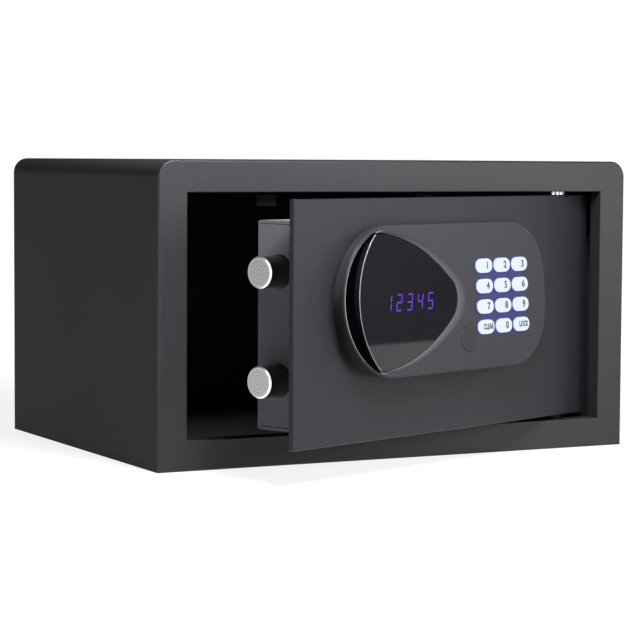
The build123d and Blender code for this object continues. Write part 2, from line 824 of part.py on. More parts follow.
# ------------------------------------------------------------------ keypad housing
def housing_outline(inset=0.0):
    """A half circle on the left, and a bowed side with large corners on the right."""
    half = housing_tall / 2 - inset
    left = housing_left + inset
    right = housing_right - inset
    shoulder = right - housing_bow
    start = (left + half, half)
    finish = (left + half, -half)
    edge = Line(start, (shoulder, half))
    edge += ThreePointArc((shoulder, half), (right, 0), (shoulder, -half))
    edge += Line((shoulder, -half), finish)
    edge += ThreePointArc(finish, (left, 0), start)
    outline = make_face(edge)
    return fillet(outline.vertices().sort_by(Axis.X)[-2:], housing_corner - inset)


def lens_outline(grow=0.0, nose=0.0, left=0.0):
    """The lens: an arc on the left and two flanks that run smoothly into a round nose."""
    tip = Vector(housing_left + lens_tip + left, lens_tip_height + grow)
    left_x = housing_left + lens_left - grow + left
    nose_radius = lens_nose_radius + grow
    nose_middle = Vector(housing_left + lens_nose + nose - lens_nose_radius, 0)
    # The flank's centre is one flank radius from the tip, and touches the nose's circle from inside.
    across = nose_middle - tip
    inner_radius = lens_flank_radius - nose_radius
    along = (lens_flank_radius ** 2 - inner_radius ** 2 + across.length ** 2) / (2 * across.length)
    aside = sqrt(lens_flank_radius ** 2 - along ** 2)
    ahead = across.normalized()
    flank_middle = tip + ahead * along + Vector(ahead.Y, -ahead.X) * aside
    touch = nose_middle + (nose_middle - flank_middle).normalized() * nose_radius
    bulge = ((tip - flank_middle) + (touch - flank_middle)).normalized() * lens_flank_radius + flank_middle
    nose_end = (nose_middle.X + nose_radius, 0)
    edge = ThreePointArc((tip.X, -tip.Y), (left_x, 0), (tip.X, tip.Y))
    edge += ThreePointArc((tip.X, tip.Y), (bulge.X, bulge.Y), (touch.X, touch.Y))
    edge += ThreePointArc((touch.X, touch.Y), nose_end, (touch.X, -touch.Y))
    edge += ThreePointArc((touch.X, -touch.Y), (bulge.X, -bulge.Y), (tip.X, -tip.Y))
    return make_face(edge)


def recess_outline(inset=0.0):
    """The finger recess: the crescent between the housing's rim and the lens's left edge."""
    tip_x = housing_left + lens_tip
    far_x = housing_left - rim_wall
    edge = ThreePointArc((tip_x - inset, -lens_tip_height), (housing_left + lens_left - inset, 0),
                         (tip_x - inset, lens_tip_height))
    edge += Polyline((tip_x - inset, lens_tip_height), (far_x, lens_tip_height),
                     (far_x, -lens_tip_height), (tip_x - inset, -lens_tip_height))
    return make_face(edge) & housing_outline(rim_wall + inset)


def housing_solid(outline, below_face, start_y):
    """An outline carried from start_y out to a plane that lies below the tilted face."""
    block_out = slab(Pos(0, housing_middle) * outline, face_y - housing_tall, start_y)
    cut = face.offset(-below_face)
    return split(block_out, bisect_by=cut, keep=Keep.BOTTOM)


def key_places():
    """Centres of the keys on the face, row by row from the top left."""
    places = []
    for row in range(key_rows):
        for column in range(key_columns):
            x = housing_left + key_centre + (column - (key_columns - 1) / 2) * key_pitch_x
            y = -key_centre_drop + ((key_rows - 1) / 2 - row) * key_pitch_y
            places.append((x, y))
    return places


def face_depth():
    """How far below the face the door's plate lies, at the housing's middle."""
    return housing_rise / cos(radians(face_tilt))


def lock_y_on_face():
    return -key_lock_drop / cos(radians(face_tilt))


def hollow_space():
    """The room inside the housing, with its wall left all round and bosses for the screws."""
    hollow = housing_solid(housing_outline(housing_wall), housing_wall, plate_front + 1)
    hollow -= on_face(lens_outline(recess_wall), -lens_sink - lens_thick - lens_seat, 1)
    recess = recess_outline(-recess_wall) & housing_outline(housing_wall / 2)
    hollow -= on_face(recess + skirt_outline(recess_wall), -recess_floor - recess_wall, 1)
    for x, z in housing_boss_places():
        hollow -= rod(x, face_y - housing_tall / 2, z, INWARD, housing_tall, boss_radius)
    return hollow


def lock_housing():
    """The moulded housing: a thin shell with places for the lens, the keys and the finger recess."""
    shell = housing_solid(housing_outline(), 0, plate_front - housing_seat)
    rim = shell.faces().sort_by(Axis.Y)[0].edges()
    shell = fillet(rim, housing_round)
    shell -= hollow_space()
    shell -= on_face(recess_outline(), -recess_floor, 3)
    shell -= lens_ramp()
    shell -= on_face(lens_outline(lens_gap), -lens_sink - lens_thick, 3)
    shell -= on_face(skirt_outline(lens_gap), -recess_floor, 3)
    shell -= on_face(display_outline(display_rim), -lens_sink - lens_thick - lens_seat - 1, 0)
    for x, y in key_places():
        cap = RectangleRounded(key_wide + 2 * key_gap, key_tall + 2 * key_gap, key_corner + key_gap)
        shell -= on_face(Pos(x, y) * cap, -housing_wall - 1, 3)
    keyhole = Pos(key_lock_x, lock_y_on_face()) * Circle(plug_radius + plug_gap)
    shell -= on_face(keyhole, -housing_wall - 1, 3)
    for x, z in housing_boss_places():
        shell -= rod(x, plate_front - screw_bite, z, INWARD, screw_bite + 1, screw_radius + thread_play)
    return shell


def skirt_outline(grow=0.0):
    """The lens's turned-down left edge."""
    outer = lens_outline(grow)
    inner = lens_outline(grow, left=lens_skirt + 2 * grow)
    strip = outer - inner
    keep_left = window(housing_left, housing_left + lens_tip + grow, -housing_tall / 2, housing_tall / 2)
    return strip & keep_left


def lens_ramp():
    """The sloping border between the face and the lens's nose."""
    low = face * (Pos(0, 0, -lens_sink) * lens_outline(lens_gap))
    high = face * (Pos(0, 0, ramp_over) * lens_outline(lens_gap, nose=ramp_width))
    return loft([low, high])


def display_lens():
    """The dark lens, with its left edge turned down into the finger recess."""
    lens = on_face(lens_outline(), -lens_sink - lens_thick, -lens_sink)
    lens = fillet(top_edges(lens, -lens_sink), lens_round)
    return lens + on_face(skirt_outline(), -recess_floor, -lens_sink - lens_thick)


def top_edges(shape, level):
    """The edges of a shape that lie at its top level over the housing's face."""
    heights = [(face.to_local_coords(edge.center()).Z, edge) for edge in shape.edges()]
    return [edge for high, edge in heights if abs(high - level) < ramp_over]


def recess_liner():
    """A black tray on the floor of the finger recess."""
    return on_face(recess_outline(liner_gap), -recess_floor, -recess_floor + liner_thick)


def display_outline(shrink=0.0):
    centre = housing_left + display_from_left
    return Pos(centre, display_lift) * Rectangle(display_wide - 2 * shrink, display_tall - 2 * shrink)


def display_module():
    """The numeric display: a small board with its digit block behind the lens."""
    module = on_face(display_outline(-display_rim), -board_below, -board_below + board_thick)
    block_top = -lens_sink - lens_thick - display_gap
    return module + on_face(display_outline(display_rim + display_gap), -board_below, block_top)


def key_name(index):
    labels = ["1", "2", "3", "4", "5", "6", "7", "8", "9", "clear", "0", "lock"]
    return "key_" + labels[index]


def key(x, y):
    """A keycap with a flange behind the housing's wall and a stem that reaches for the board."""
    flange_top = -housing_wall - key_gap
    cap = Pos(x, y) * RectangleRounded(key_wide, key_tall, key_corner)
    body = on_face(cap, flange_top, key_proud)
    body = fillet(top_edges(body, key_proud), key_round)
    base = Pos(x, y) * RectangleRounded(key_wide + 2 * key_flange, key_tall + 2 * key_flange, key_corner)
    body += on_face(base, flange_top - key_flange_thick, flange_top)
    stem_end = -board_below + board_thick + dome_thick + key_travel + key_stem_gap
    return body + on_face(Pos(x, y) * Circle(key_stem_radius), stem_end, flange_top - key_flange_thick)


def keypad_board():
    """The switch board behind the keys, with a dome under each key and the cable's socket."""
    outline = keypad_area(board_margin)
    board = on_face(outline, -board_below, -board_below + board_thick)
    for x, y in key_places():
        board += on_face(Pos(x, y) * Circle(dome_radius), -board_below + board_thick,
                         -board_below + board_thick + dome_thick)
    return board


def keypad_area(margin):
    wide = (key_columns - 1) * key_pitch_x + key_wide + 2 * margin
    tall = (key_rows - 1) * key_pitch_y + key_tall + 2 * margin
    return Pos(housing_left + key_centre, -key_centre_drop) * Rectangle(wide, tall)


def light_guide():
    """A clear sheet on the board that spreads the back-light round the keys."""
    sheet_outline = keypad_area(guide_margin)
    for x, y in key_places():
        sheet_outline -= Pos(x, y) * Circle(dome_radius + dome_room)
    low = -board_below + board_thick
    return on_face(sheet_outline, low, low + guide_thick)


def housing_screws():
    return Compound(children=[pan_screw(x, plate_rear, z, plate_thick + screw_bite - screw_end)
                              for x, z in housing_boss_places()])


# ------------------------------------------------------------------ override lock
def key_cover():
    """The round cap over the keyhole, pushed in from the front."""
    centre = Pos(key_lock_x, lock_y_on_face())
    cap = on_face(centre * Circle(plug_radius), plug_proud - plug_thick, plug_proud)
    cap = fillet(top_edges(cap, plug_proud), plug_round)
    mouth_depth = -face_depth() + barrel_front - key_lock_drop * tan(radians(face_tilt))
    return cap + on_face(centre * Circle(core_radius), mouth_depth + plug_room, plug_proud - plug_thick)


def lock_barrel():
    back_y = web_y - 1
    mouth = plate_front - barrel_front
    barrel = rod(key_lock_x, mouth, key_lock_z, INWARD, back_y - mouth, barrel_radius)
    return barrel - rod(key_lock_x, mouth - 1, key_lock_z, INWARD, back_y - mouth + 2,
                        core_radius + core_play)


def barrel_nut():
    nut = slab(Pos(key_lock_x, key_lock_z) * RegularPolygon(barrel_nut_across / 2, 6, major_radius=False),
               plate_rear, plate_rear + barrel_nut_thick)
    return nut - rod(key_lock_x, plate_rear - 1, key_lock_z, INWARD, barrel_nut_thick + 2,
                     barrel_radius + press_play)


def lock_core():
    """The turning core with its keyway, and the square tail that drives the cam."""
    mouth = plate_front - barrel_front
    core = rod(key_lock_x, mouth, key_lock_z, INWARD, web_y - mouth, core_radius)
    tail = Pos(key_lock_x, key_lock_z) * Rectangle(tail_square, tail_square)
    core += slab(tail, web_y, web_rear + tail_proud)
    return core - block(key_lock_x - keyway_wide / 2, key_lock_x + keyway_wide / 2, mouth - 1,
                        mouth + keyway_deep, key_lock_z - keyway_tall / 2, key_lock_z + keyway_tall / 2)


def release_cam():
    """The cam on the core's tail; its arm hangs down until the key is turned."""
    outline = Pos(key_lock_x, key_lock_z) * Circle(cam_hub)
    tip_z = key_lock_z - cam_reach
    outline += window(key_lock_x - cam_arm / 2, key_lock_x + cam_arm / 2, tip_z + cam_arm / 2, key_lock_z)
    outline += Pos(key_lock_x, tip_z + cam_arm / 2) * Circle(cam_arm / 2)
    hole = tail_square + 2 * tail_play
    outline -= Pos(key_lock_x, key_lock_z) * Rectangle(hole, hole)
    return slab(outline, cam_y, cam_y + web_thick)


# ------------------------------------------------------------------ power, wiring and reset
def battery_tray():
    tray = block(tray_left, tray_right, tray_floor, box_inside, tray_bottom, tray_top)
    room = block(tray_left + tray_wall, tray_right - tray_wall, tray_floor + tray_wall, box_inside + 1,
                 tray_bottom + tray_wall, tray_top - tray_wall)
    return tray - room


def battery_cells():
    cells = []
    first_x = (tray_left + tray_right) / 2 - cell_length / 2
    for index in range(cell_count):
        z = tray_bottom + tray_wall + (index + 0.5) * cell_pitch
        cell = rod(first_x, cell_y, z, RIGHT, cell_length - cell_nub, cell_radius)
        cell = fillet(cell.edges().filter_by(GeomType.CIRCLE), cell_round)
        cell += rod(first_x + cell_length / 2, cell_y, z, RIGHT, cell_length / 2, cell_nub_radius)
        cells.append(cell)
    return Compound(children=cells)


def battery_contacts():
    """Nickel strips at both ends of the tray that touch the cells."""
    strips = []
    middle = (tray_left + tray_right) / 2
    inner_left = tray_left + tray_wall
    inner_right = tray_right - tray_wall
    z0, z1 = tray_bottom + tray_wall + 1, tray_top - tray_wall - 1
    for x0, x1 in ((inner_left, middle - cell_length / 2), (middle + cell_length / 2, inner_right)):
        strips.append(block(x0, x1, cell_y - contact_wide / 2, cell_y + contact_wide / 2, z0, z1))
    return Compound(children=strips)


def battery_lid():
    """The lid over the cells: a plate with a spigot that drops into the cover's opening."""
    lid = slab(battery_mouth(lid_lap), box_rear, box_rear + lid_thick)
    lid = chamfer(lid.edges().group_by(Axis.Y)[-1], lid_edge)
    spigot = battery_mouth(-lid_gap) - battery_mouth(-lid_gap - spigot_wall)
    lid += slab(spigot, box_rear - spigot_tall, box_rear)
    centre_x = (tray_left + tray_right) / 2
    grip_top = tray_top - grip_from_top + grip_wide
    grip = window(centre_x - grip_long / 2, centre_x + grip_long / 2, grip_top - grip_wide, grip_top)
    return lid - slab(grip, box_rear + lid_thick - grip_deep, box_rear + lid_thick + 1)


def control_corners():
    right = box_right - flange_width - control_gap
    top = box_top - box_sheet - control_inset
    return right - control_wide, right, top - control_tall, top


def control_board():
    """The main board with its parts, and the cable's socket on the side that faces the door."""
    left, right, bottom, top = control_corners()
    board = block(left, right, control_y, control_y + board_thick, bottom, top)
    parts_y = control_y + board_thick
    chip = window(left + parts_inset, left + parts_inset + chip_wide,
                  bottom + parts_inset, bottom + parts_inset + chip_wide)
    relay = window(left + parts_inset, left + parts_inset + relay_wide,
                   top - relay_drop - relay_wide, top - relay_drop)
    board += slab(chip, parts_y, parts_y + chip_thick)
    board += slab(relay, parts_y, parts_y + relay_thick)
    board += rod(right - parts_inset - 2 * capacitor_radius, parts_y,
                 bottom + parts_inset + capacitor_radius, INWARD, capacitor_tall, capacitor_radius)
    switch = Pos(*reset_place()) * Rectangle(switch_wide, switch_wide)
    board += slab(switch, parts_y, parts_y + switch_tall)
    socket = Pos(housing_left + ribbon_from_left, housing_middle + ribbon_height)
    return board + slab(socket * Rectangle(socket_wide, socket_tall), control_y - socket_deep, control_y)


def board_standoffs():
    left, right, bottom, top = control_corners()
    posts = []
    for x in (left + standoff_inset, right - standoff_inset):
        for z in (bottom + standoff_inset, top - standoff_inset):
            posts.append(rod(x, plate_rear, z, INWARD, control_back, standoff_radius))
    return Compound(children=posts)


def ribbon_cable():
    """The flat cable from the keypad board, through the door plate, to the control board."""
    x = housing_left + ribbon_from_left
    z = housing_middle + ribbon_height
    board_face = -board_below + board_thick
    bend_y = face_y + ribbon_height * tan(radians(face_tilt)) - board_face / cos(radians(face_tilt))
    through = block(x - ribbon_wide / 2, x + ribbon_wide / 2, bend_y - ribbon_thick,
                    control_y - socket_deep, z - ribbon_thick / 2, z + ribbon_thick / 2)
    low = (key_rows - 1) / 2 * key_pitch_y + key_tall / 2 - key_centre_drop + guide_margin + ribbon_gap
    high = ribbon_height / cos(radians(face_tilt)) + ribbon_thick / 2
    strip = Pos(x, (low + high) / 2) * Rectangle(ribbon_wide, high - low)
    return through + on_face(strip, board_face, board_face + ribbon_thick)


def reset_button():
    """The sprung reset plunger through the lock box's cover."""
    x, z = reset_place()
    switch_y = control_y + board_thick + switch_tall
    flange_y = box_inside - reset_gap - reset_flange_thick
    button = rod(x, flange_y, z, INWARD, box_rear + reset_proud - flange_y, reset_radius)
    button = fillet(button.edges().group_by(Axis.Y)[-1], reset_round)
    button += rod(x, flange_y, z, INWARD, reset_flange_thick, reset_radius + reset_flange)
    stem_y = switch_y + reset_travel + reset_gap
    return button + rod(x, stem_y, z, INWARD, box_inside - reset_gap - stem_y, reset_stem_radius)


# ------------------------------------------------------------------ all the pieces
save("wrap_shell", wrap_shell())
save("back_panel", back_panel())
save("base_plate", base_plate())
save("front_frame", front_frame())
save("hinge_plates", Compound(children=[hinge_plate(doorway_bottom - sheet - hinge_plate_thick),
                                        hinge_plate(doorway_top + sheet)]))
save("hinge_collars", hinge_collars())
save("strike_plate", strike_plate())
save("door_stops", door_stops())
save("stop_buffers", stop_buffers())
save("floor_mat", floor_mat())

save_on_door("door_plate", door_plate())
save_on_door("hinge_lugs", Compound(children=[hinge_lug(plate_bottom), hinge_lug(plate_top - lug_tall)]))
save_on_door("hinge_pins", hinge_pins())
save_on_door("box_end_wall_free", bolt_end_wall())
save_on_door("box_end_wall_hinge", end_wall(box_right, -1))
save_on_door("box_cover", box_cover())
save_on_door("cover_screws", cover_screws())

save_on_door("bolt_upper", bolt(bolt_heights[0]))
save_on_door("bolt_lower", bolt(bolt_heights[1]))
save_on_door("bolt_screws", bolt_screws())
save_on_door("bolt_carriage", bolt_carriage())
save_on_door("bolt_bushes", bolt_bushes())
save_on_door("guide_studs", guide_studs())
save_on_door("drive_pinion", drive_pinion())
save_on_door("gearbox", gearbox())
save_on_door("drive_motor", drive_motor())
save_on_door("motor_bracket", motor_bracket())

save_on_door("lock_housing", lock_housing())
save_on_door("housing_screws", housing_screws())
save_on_door("display_lens", display_lens())
save_on_door("recess_liner", recess_liner())
save_on_door("display_module", display_module())
save_on_door("keypad_board", keypad_board())
save_on_door("light_guide", light_guide())
for index, (key_x, key_y) in enumerate(key_places()):
    save_on_door(key_name(index), key(key_x, key_y))

save_on_door("key_cover", key_cover())
save_on_door("lock_barrel", lock_barrel())
save_on_door("barrel_nut", barrel_nut())
save_on_door("lock_core", lock_core())
save_on_door("release_cam", release_cam())

save_on_door("battery_tray", battery_tray())
save_on_door("battery_cells", battery_cells())
save_on_door("battery_contacts", battery_contacts())
save_on_door("battery_lid", battery_lid())
save_on_door("control_board", control_board())
save_on_door("board_standoffs", board_standoffs())
save_on_door("ribbon_cable", ribbon_cable())
save_on_door("reset_button", reset_button())
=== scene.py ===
# %% [markdown]
# # An in-room safe
# A hotel safe is a low steel box with one door.  The steel is sprayed with a black-grey powder and
# baked, so it is matt with a very fine tooth.  On the door sits a moulded keypad housing with a
# smoked lens, a lit display and twelve back-lit keys, and two polished bolts stand out of the
# door's free edge.  The solids come from the CAD model.  This script dresses them, and models what
# the eye goes to first: the keycaps with their legends, the lens's bright edge and the lit digits.

# %% Load the frame
import bpy
import json
import math
from mathutils import Matrix, Vector


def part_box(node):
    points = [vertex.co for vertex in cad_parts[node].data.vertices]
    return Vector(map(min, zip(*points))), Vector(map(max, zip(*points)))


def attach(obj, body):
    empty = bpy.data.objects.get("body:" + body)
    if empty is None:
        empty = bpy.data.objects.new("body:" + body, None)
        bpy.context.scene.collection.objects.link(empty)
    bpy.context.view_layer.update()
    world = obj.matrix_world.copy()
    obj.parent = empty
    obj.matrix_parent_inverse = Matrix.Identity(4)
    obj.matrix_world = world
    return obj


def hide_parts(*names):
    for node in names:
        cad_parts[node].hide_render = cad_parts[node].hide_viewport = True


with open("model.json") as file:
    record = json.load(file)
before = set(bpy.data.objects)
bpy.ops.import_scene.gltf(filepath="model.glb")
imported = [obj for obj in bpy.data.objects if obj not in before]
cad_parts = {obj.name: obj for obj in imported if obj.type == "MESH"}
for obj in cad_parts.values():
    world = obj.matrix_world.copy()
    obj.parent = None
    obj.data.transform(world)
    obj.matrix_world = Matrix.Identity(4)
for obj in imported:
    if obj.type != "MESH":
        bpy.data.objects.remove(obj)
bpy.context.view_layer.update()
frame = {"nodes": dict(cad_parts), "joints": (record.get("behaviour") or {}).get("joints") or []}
nodes = frame["nodes"]
scene = bpy.context.scene

# %% [markdown]
# ## Directions on the door
# The door stands open, so nothing on it lies along X or Y.  The joints say which way things point:
# the cap over the keyhole pulls straight out of the housing's face, and the bolts slide along the
# door's plate.  From those two directions comes a small frame for all that is made on the face.

# %% Read the directions
axes = {joint["name"]: Vector(joint["axis"]).normalized() for joint in frame["joints"]}
face_out = axes["keyhole_cap_pull"]          # out of the keypad's face
face_right = -axes["bolt_slide"]             # along the door, towards the hinge
face_up = face_out.cross(face_right)
print("face leans back by", round(math.degrees(math.asin(face_out.z)), 2), "degrees")


def span(node, direction):
    """How low and how high a CAD node reaches along a direction."""
    reach = [corner.co.dot(direction) for corner in nodes[node].data.vertices]
    return min(reach), max(reach)


def middle(node, direction):
    """The middle of a CAD node's reach along a direction."""
    return sum(span(node, direction)) / 2


def on_face(right, up, out):
    """The matrix that lays a thing drawn flat at the origin on the keypad's face."""
    place = face_right * right + face_up * up + face_out * out
    turn = Matrix((face_right, face_up, face_out)).transposed()
    return Matrix.Translation(place) @ turn.to_4x4()


# %% [markdown]
# ## Colours and nodes
# Colours are written as the hex values that a paint chart or a screen gives.  A renderer works with
# linear light, so one function turns them over.  Every material is a small network, and one helper
# adds a node, sets it and joins its inputs, which keeps the networks short to read.

# %% Helpers for materials
def linear(code):
    """A hex colour as linear light, with full alpha."""
    parts = [int(code[i:i + 2], 16) / 255 for i in (0, 2, 4)]
    light = [part / 12.92 if part <= 0.04045 else ((part + 0.055) / 1.055) ** 2.4 for part in parts]
    return (*light, 1.0)


def add(material, kind, inputs, **settings):
    """Adds a node; an input is either a value or the output of another node."""
    made = material.node_tree.nodes.new("ShaderNode" + kind)
    for name, value in settings.items():
        setattr(made, name, value)
    for name, value in inputs.items():
        if isinstance(value, bpy.types.NodeSocket):
            material.node_tree.links.new(value, made.inputs[name])
        else:
            made.inputs[name].default_value = value
    return made


def new_material(name):
    """A material with an empty network."""
    material = bpy.data.materials.new(name)
    material.use_nodes = True
    material.node_tree.nodes.clear()
    return material


def finish(material, shader):
    """Joins the last shader to the material's output."""
    out = add(material, "OutputMaterial", {})
    material.node_tree.links.new(shader.outputs[0], out.inputs["Surface"])
    return material


def shader_of(material):
    """The shader of a finished material, for a step that adds to it."""
    return next(node for node in material.node_tree.nodes if node.type == "BSDF_PRINCIPLED")


def dress(material, *names):
    """Gives CAD nodes a finished material."""
    for name in names:
        piece = nodes[name]
        if not piece.material_slots:
            piece.data.materials.append(material)
        for held in piece.material_slots:
            held.material = material
    print(material.name, "on", ", ".join(names))


# %% [markdown]
# ## Powder coat
# Powder coat is a polyester dust that melts into a film about 0.08 mm thick.  It leaves a fine
# orange-peel surface with a grain near 0.4 mm, and a satin rather than a glossy shine.  Two noises
# make it: a fine one for the tooth, which bends the light through a bump, and a broad faint one for
# the slight change of shade that any sprayed panel has.  The grain is drawn at 1 mm, as coarse as
# it needs to be to show from across a room.  The door's coat and the front frame's are smoother
# than the shell's, because flat work takes the powder more evenly.  They shine a little more, and
# their ground colour is darker.  The two door stops inside the opening are dead black with no
# shine, a painted shade for the dark inside of the opening.

# %% Powder coat material
PEEL_GRAIN = 0.001          # the tooth, as drawn
PEEL_RISE = 0.0003
PEEL_SHINE = 0.06           # the roughness wanders this far to either side


def powder_coat(name, dark, light, roughness, shine_level=0.1):
    """Sprayed powder between two shades."""
    coat = new_material(name)
    where = add(coat, "TexCoord", {}).outputs["Object"]
    grain = add(coat, "TexNoise", {
        "Vector": where, "Scale": 1 / PEEL_GRAIN, "Detail": 3.0, "Roughness": 0.6})
    cloud = add(coat, "TexNoise", {"Vector": where, "Scale": 9.0, "Detail": 2.0})
    mixed = add(coat, "MixRGB", {
        "Fac": 0.5, "Color1": cloud.outputs["Fac"], "Color2": grain.outputs["Fac"]})
    shade = add(coat, "ValToRGB", {"Fac": mixed.outputs["Color"]})
    for stop, place, tone in zip(shade.color_ramp.elements, (0.32, 0.68), (dark, light)):
        stop.position, stop.color = place, linear(tone)
    shine = add(coat, "MapRange", {
        "Value": grain.outputs["Fac"],
        "To Min": roughness - PEEL_SHINE, "To Max": roughness + PEEL_SHINE})
    peel = add(coat, "Bump", {
        "Height": grain.outputs["Fac"], "Strength": 0.4, "Distance": PEEL_RISE})
    return finish(coat, add(coat, "BsdfPrincipled", {
        "Base Color": shade.outputs["Color"], "Roughness": shine.outputs["Result"],
        "IOR": 1.5, "Specular IOR Level": shine_level, "Normal": peel.outputs["Normal"]}))


cabinet_coat = powder_coat("black_grey_powder_coat", "353539", "3d3d41", 0.6)
# painted light: the lock box's end walls and cover are far lighter than the door's coat, so the end
# wall facing the unlit left shows lit
lock_box_painted_light_coat = powder_coat("lock_box_powder_coat_painted_light", "707078", "7a7a82", 0.55)
door_coat = powder_coat("door_grey_powder_coat", "17171d", "1c1c23", 0.45, 0.32)
frame_coat = powder_coat("frame_grey_powder_coat", "222226", "28282c", 0.45, 0.35)
# painted shade: the door stops are dead black with no shine, for the dark inside of the opening
door_stop_painted_shade = powder_coat("door_stops_black_painted_shade", "060607", "09090a", 0.8, 0.0)
dress(cabinet_coat, "wrap_shell", "back_panel", "base_plate", "hinge_plates", "strike_plate")
dress(frame_coat, "front_frame")
dress(door_stop_painted_shade, "door_stops")
dress(door_coat, "door_plate", "hinge_lugs")
dress(lock_box_painted_light_coat, "box_end_wall_free", "box_end_wall_hinge", "box_cover")

# %% [markdown]
# ## Polished and plated steel
# The bolts are turned from bar and chrome plated.  The barrel is polished, so it mirrors the dark
# room, and its colour is set darker than chrome's: a painted dark reflection.  The flat end was
# only faced on the lathe, which leaves fine rings about 0.3 mm apart and a satin grey.  The rings
# are drawn at 2.4 mm, as coarse as they need to be to show.  The position is measured from the
# middle of the bolt's end, along the bolt's own direction: within a hair of the end plane the
# metal is satin and ringed.  The edge of the end and its chamfer are coloured lighter than chrome
# and left not quite smooth: a painted highlight that draws a soft bright rim.

# %% Turned chrome
RINGS_APART = 0.0024
FACED_DEEP = (0.00003, 0.00012)     # the faced metal gives way between these depths below the end
CHAMFER_DEEP = (0.0009, 0.0011)     # and the chamfer between these
RIM_HIGHLIGHT_FROM = (0.0086, 0.009)    # the end turns from satin to a painted highlight between these radii
BARREL_ROUGH, END_ROUGH = 0.07, 0.36


def turned_chrome_painted_light(name, node):
    """Chrome with a satin, lathe-faced end on one bolt, a painted dark reflection on its barrel and
    a painted highlight on its rim.
    """
    chrome = new_material(name)
    where = add(chrome, "TexCoord", {}).outputs["Object"]
    along = axes["bolt_slide"]
    tip = span(node, along)[1]
    low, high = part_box(node)
    centre = (low + high) / 2
    end_point = centre + along * (tip - centre.dot(along))
    from_end = add(chrome, "VectorMath", {0: where, 1: end_point}, operation="SUBTRACT")
    depth = add(chrome, "VectorMath", {0: from_end.outputs[0], 1: along}, operation="DOT_PRODUCT")
    reach = add(chrome, "VectorMath", {0: from_end.outputs[0]}, operation="LENGTH")
    wave = add(chrome, "Math", {
        0: reach.outputs["Value"], 1: 2 * math.pi / RINGS_APART}, operation="MULTIPLY")
    rings = add(chrome, "Math", {0: wave.outputs[0]}, operation="SINE")
    faced = add(chrome, "MapRange", {
        "Value": depth.outputs["Value"], "From Min": -FACED_DEEP[1], "From Max": -FACED_DEEP[0]})
    tone = add(chrome, "MapRange", {
        "Value": rings.outputs[0], "From Min": -1.0, "To Min": 0.0, "To Max": 1.0})
    satin = add(chrome, "MixRGB", {
        "Fac": tone.outputs["Result"], "Color1": linear("aaabad"), "Color2": linear("bebfc1")})
    rim = add(chrome, "MapRange", {
        "Value": reach.outputs["Value"],
        "From Min": RIM_HIGHLIGHT_FROM[0], "From Max": RIM_HIGHLIGHT_FROM[1]})
    ended = add(chrome, "MixRGB", {
        "Fac": rim.outputs["Result"], "Color1": satin.outputs["Color"], "Color2": linear("f4f4f5")})
    near = add(chrome, "MapRange", {
        "Value": depth.outputs["Value"],
        "From Min": -CHAMFER_DEEP[1], "From Max": -CHAMFER_DEEP[0]})
    # painted dark reflection on the barrel, and a painted highlight towards the chamfer
    barrel = add(chrome, "MixRGB", {
        "Fac": near.outputs["Result"], "Color1": linear("747578"), "Color2": linear("f0f0f1")})
    shade = add(chrome, "MixRGB", {
        "Fac": faced.outputs["Result"],
        "Color1": barrel.outputs["Color"], "Color2": ended.outputs["Color"]})
    shine = add(chrome, "MapRange", {
        "Value": near.outputs["Result"], "To Min": BARREL_ROUGH, "To Max": END_ROUGH})
    return finish(chrome, add(chrome, "BsdfPrincipled", {
        "Base Color": shade.outputs["Color"], "Metallic": 1.0,
        "Roughness": shine.outputs["Result"]}))


for place in ("upper", "lower"):
    dress(turned_chrome_painted_light("turned_chrome_painted_light_" + place, "bolt_" + place), "bolt_" + place)

# %% [markdown]
# Brackets and screws are plainer.  Zinc crystals show as a soft mottling, so a noise of a few
# millimetres moves both the colour and the shine a little.

# %% Plated metals
MOTTLE_SHINE = 0.08         # the roughness wanders this far to either side


def plated(name, dark, light, roughness, grain):
    """A plated or ground metal; grain is the size of its mottling in millimetres."""
    metal = new_material(name)
    where = add(metal, "TexCoord", {}).outputs["Object"]
    crystal = add(metal, "TexNoise", {"Vector": where, "Scale": 1000.0 / grain, "Detail": 4.0})
    shade = add(metal, "ValToRGB", {"Fac": crystal.outputs["Fac"]})
    for stop, place, tone in zip(shade.color_ramp.elements, (0.35, 0.65), (dark, light)):
        stop.position, stop.color = place, linear(tone)
    shine = add(metal, "MapRange", {
        "Value": crystal.outputs["Fac"],
        "To Min": roughness - MOTTLE_SHINE, "To Max": roughness + MOTTLE_SHINE})
    return finish(metal, add(metal, "BsdfPrincipled", {
        "Base Color": shade.outputs["Color"], "Metallic": 1.0,
        "Roughness": shine.outputs["Result"]}))


dress(plated("bright_nickel_plate", "bcbdc0", "d6d7da", 0.18, 3.0), "battery_contacts")
dress(plated("ground_steel", "a4a6a9", "c0c2c5", 0.3, 1.5), "hinge_pins")
dress(plated("clear_zinc_plate", "9b9fa2", "b9bdc0", 0.38, 4.0), "bolt_carriage", "guide_studs",
      "motor_bracket", "barrel_nut", "bolt_screws", "release_cam", "drive_motor")
dress(plated("black_zinc_plate", "2c2d2f", "424346", 0.4, 2.0), "cover_screws", "housing_screws")
dress(plated("turned_brass", "a8843c", "c9a456", 0.25, 2.0),
      "lock_barrel", "lock_core", "board_standoffs")

# %% [markdown]
# The two hinge collars are nickel plated too.  The upper one flashes in the gap over the door.
# The lower one carries the door's weight and sits in the dark gap under the door, so it is coloured
# near black with a faint mottle instead of nickel: painted shade.  One material does both: the
# height on the piece says which collar it is.

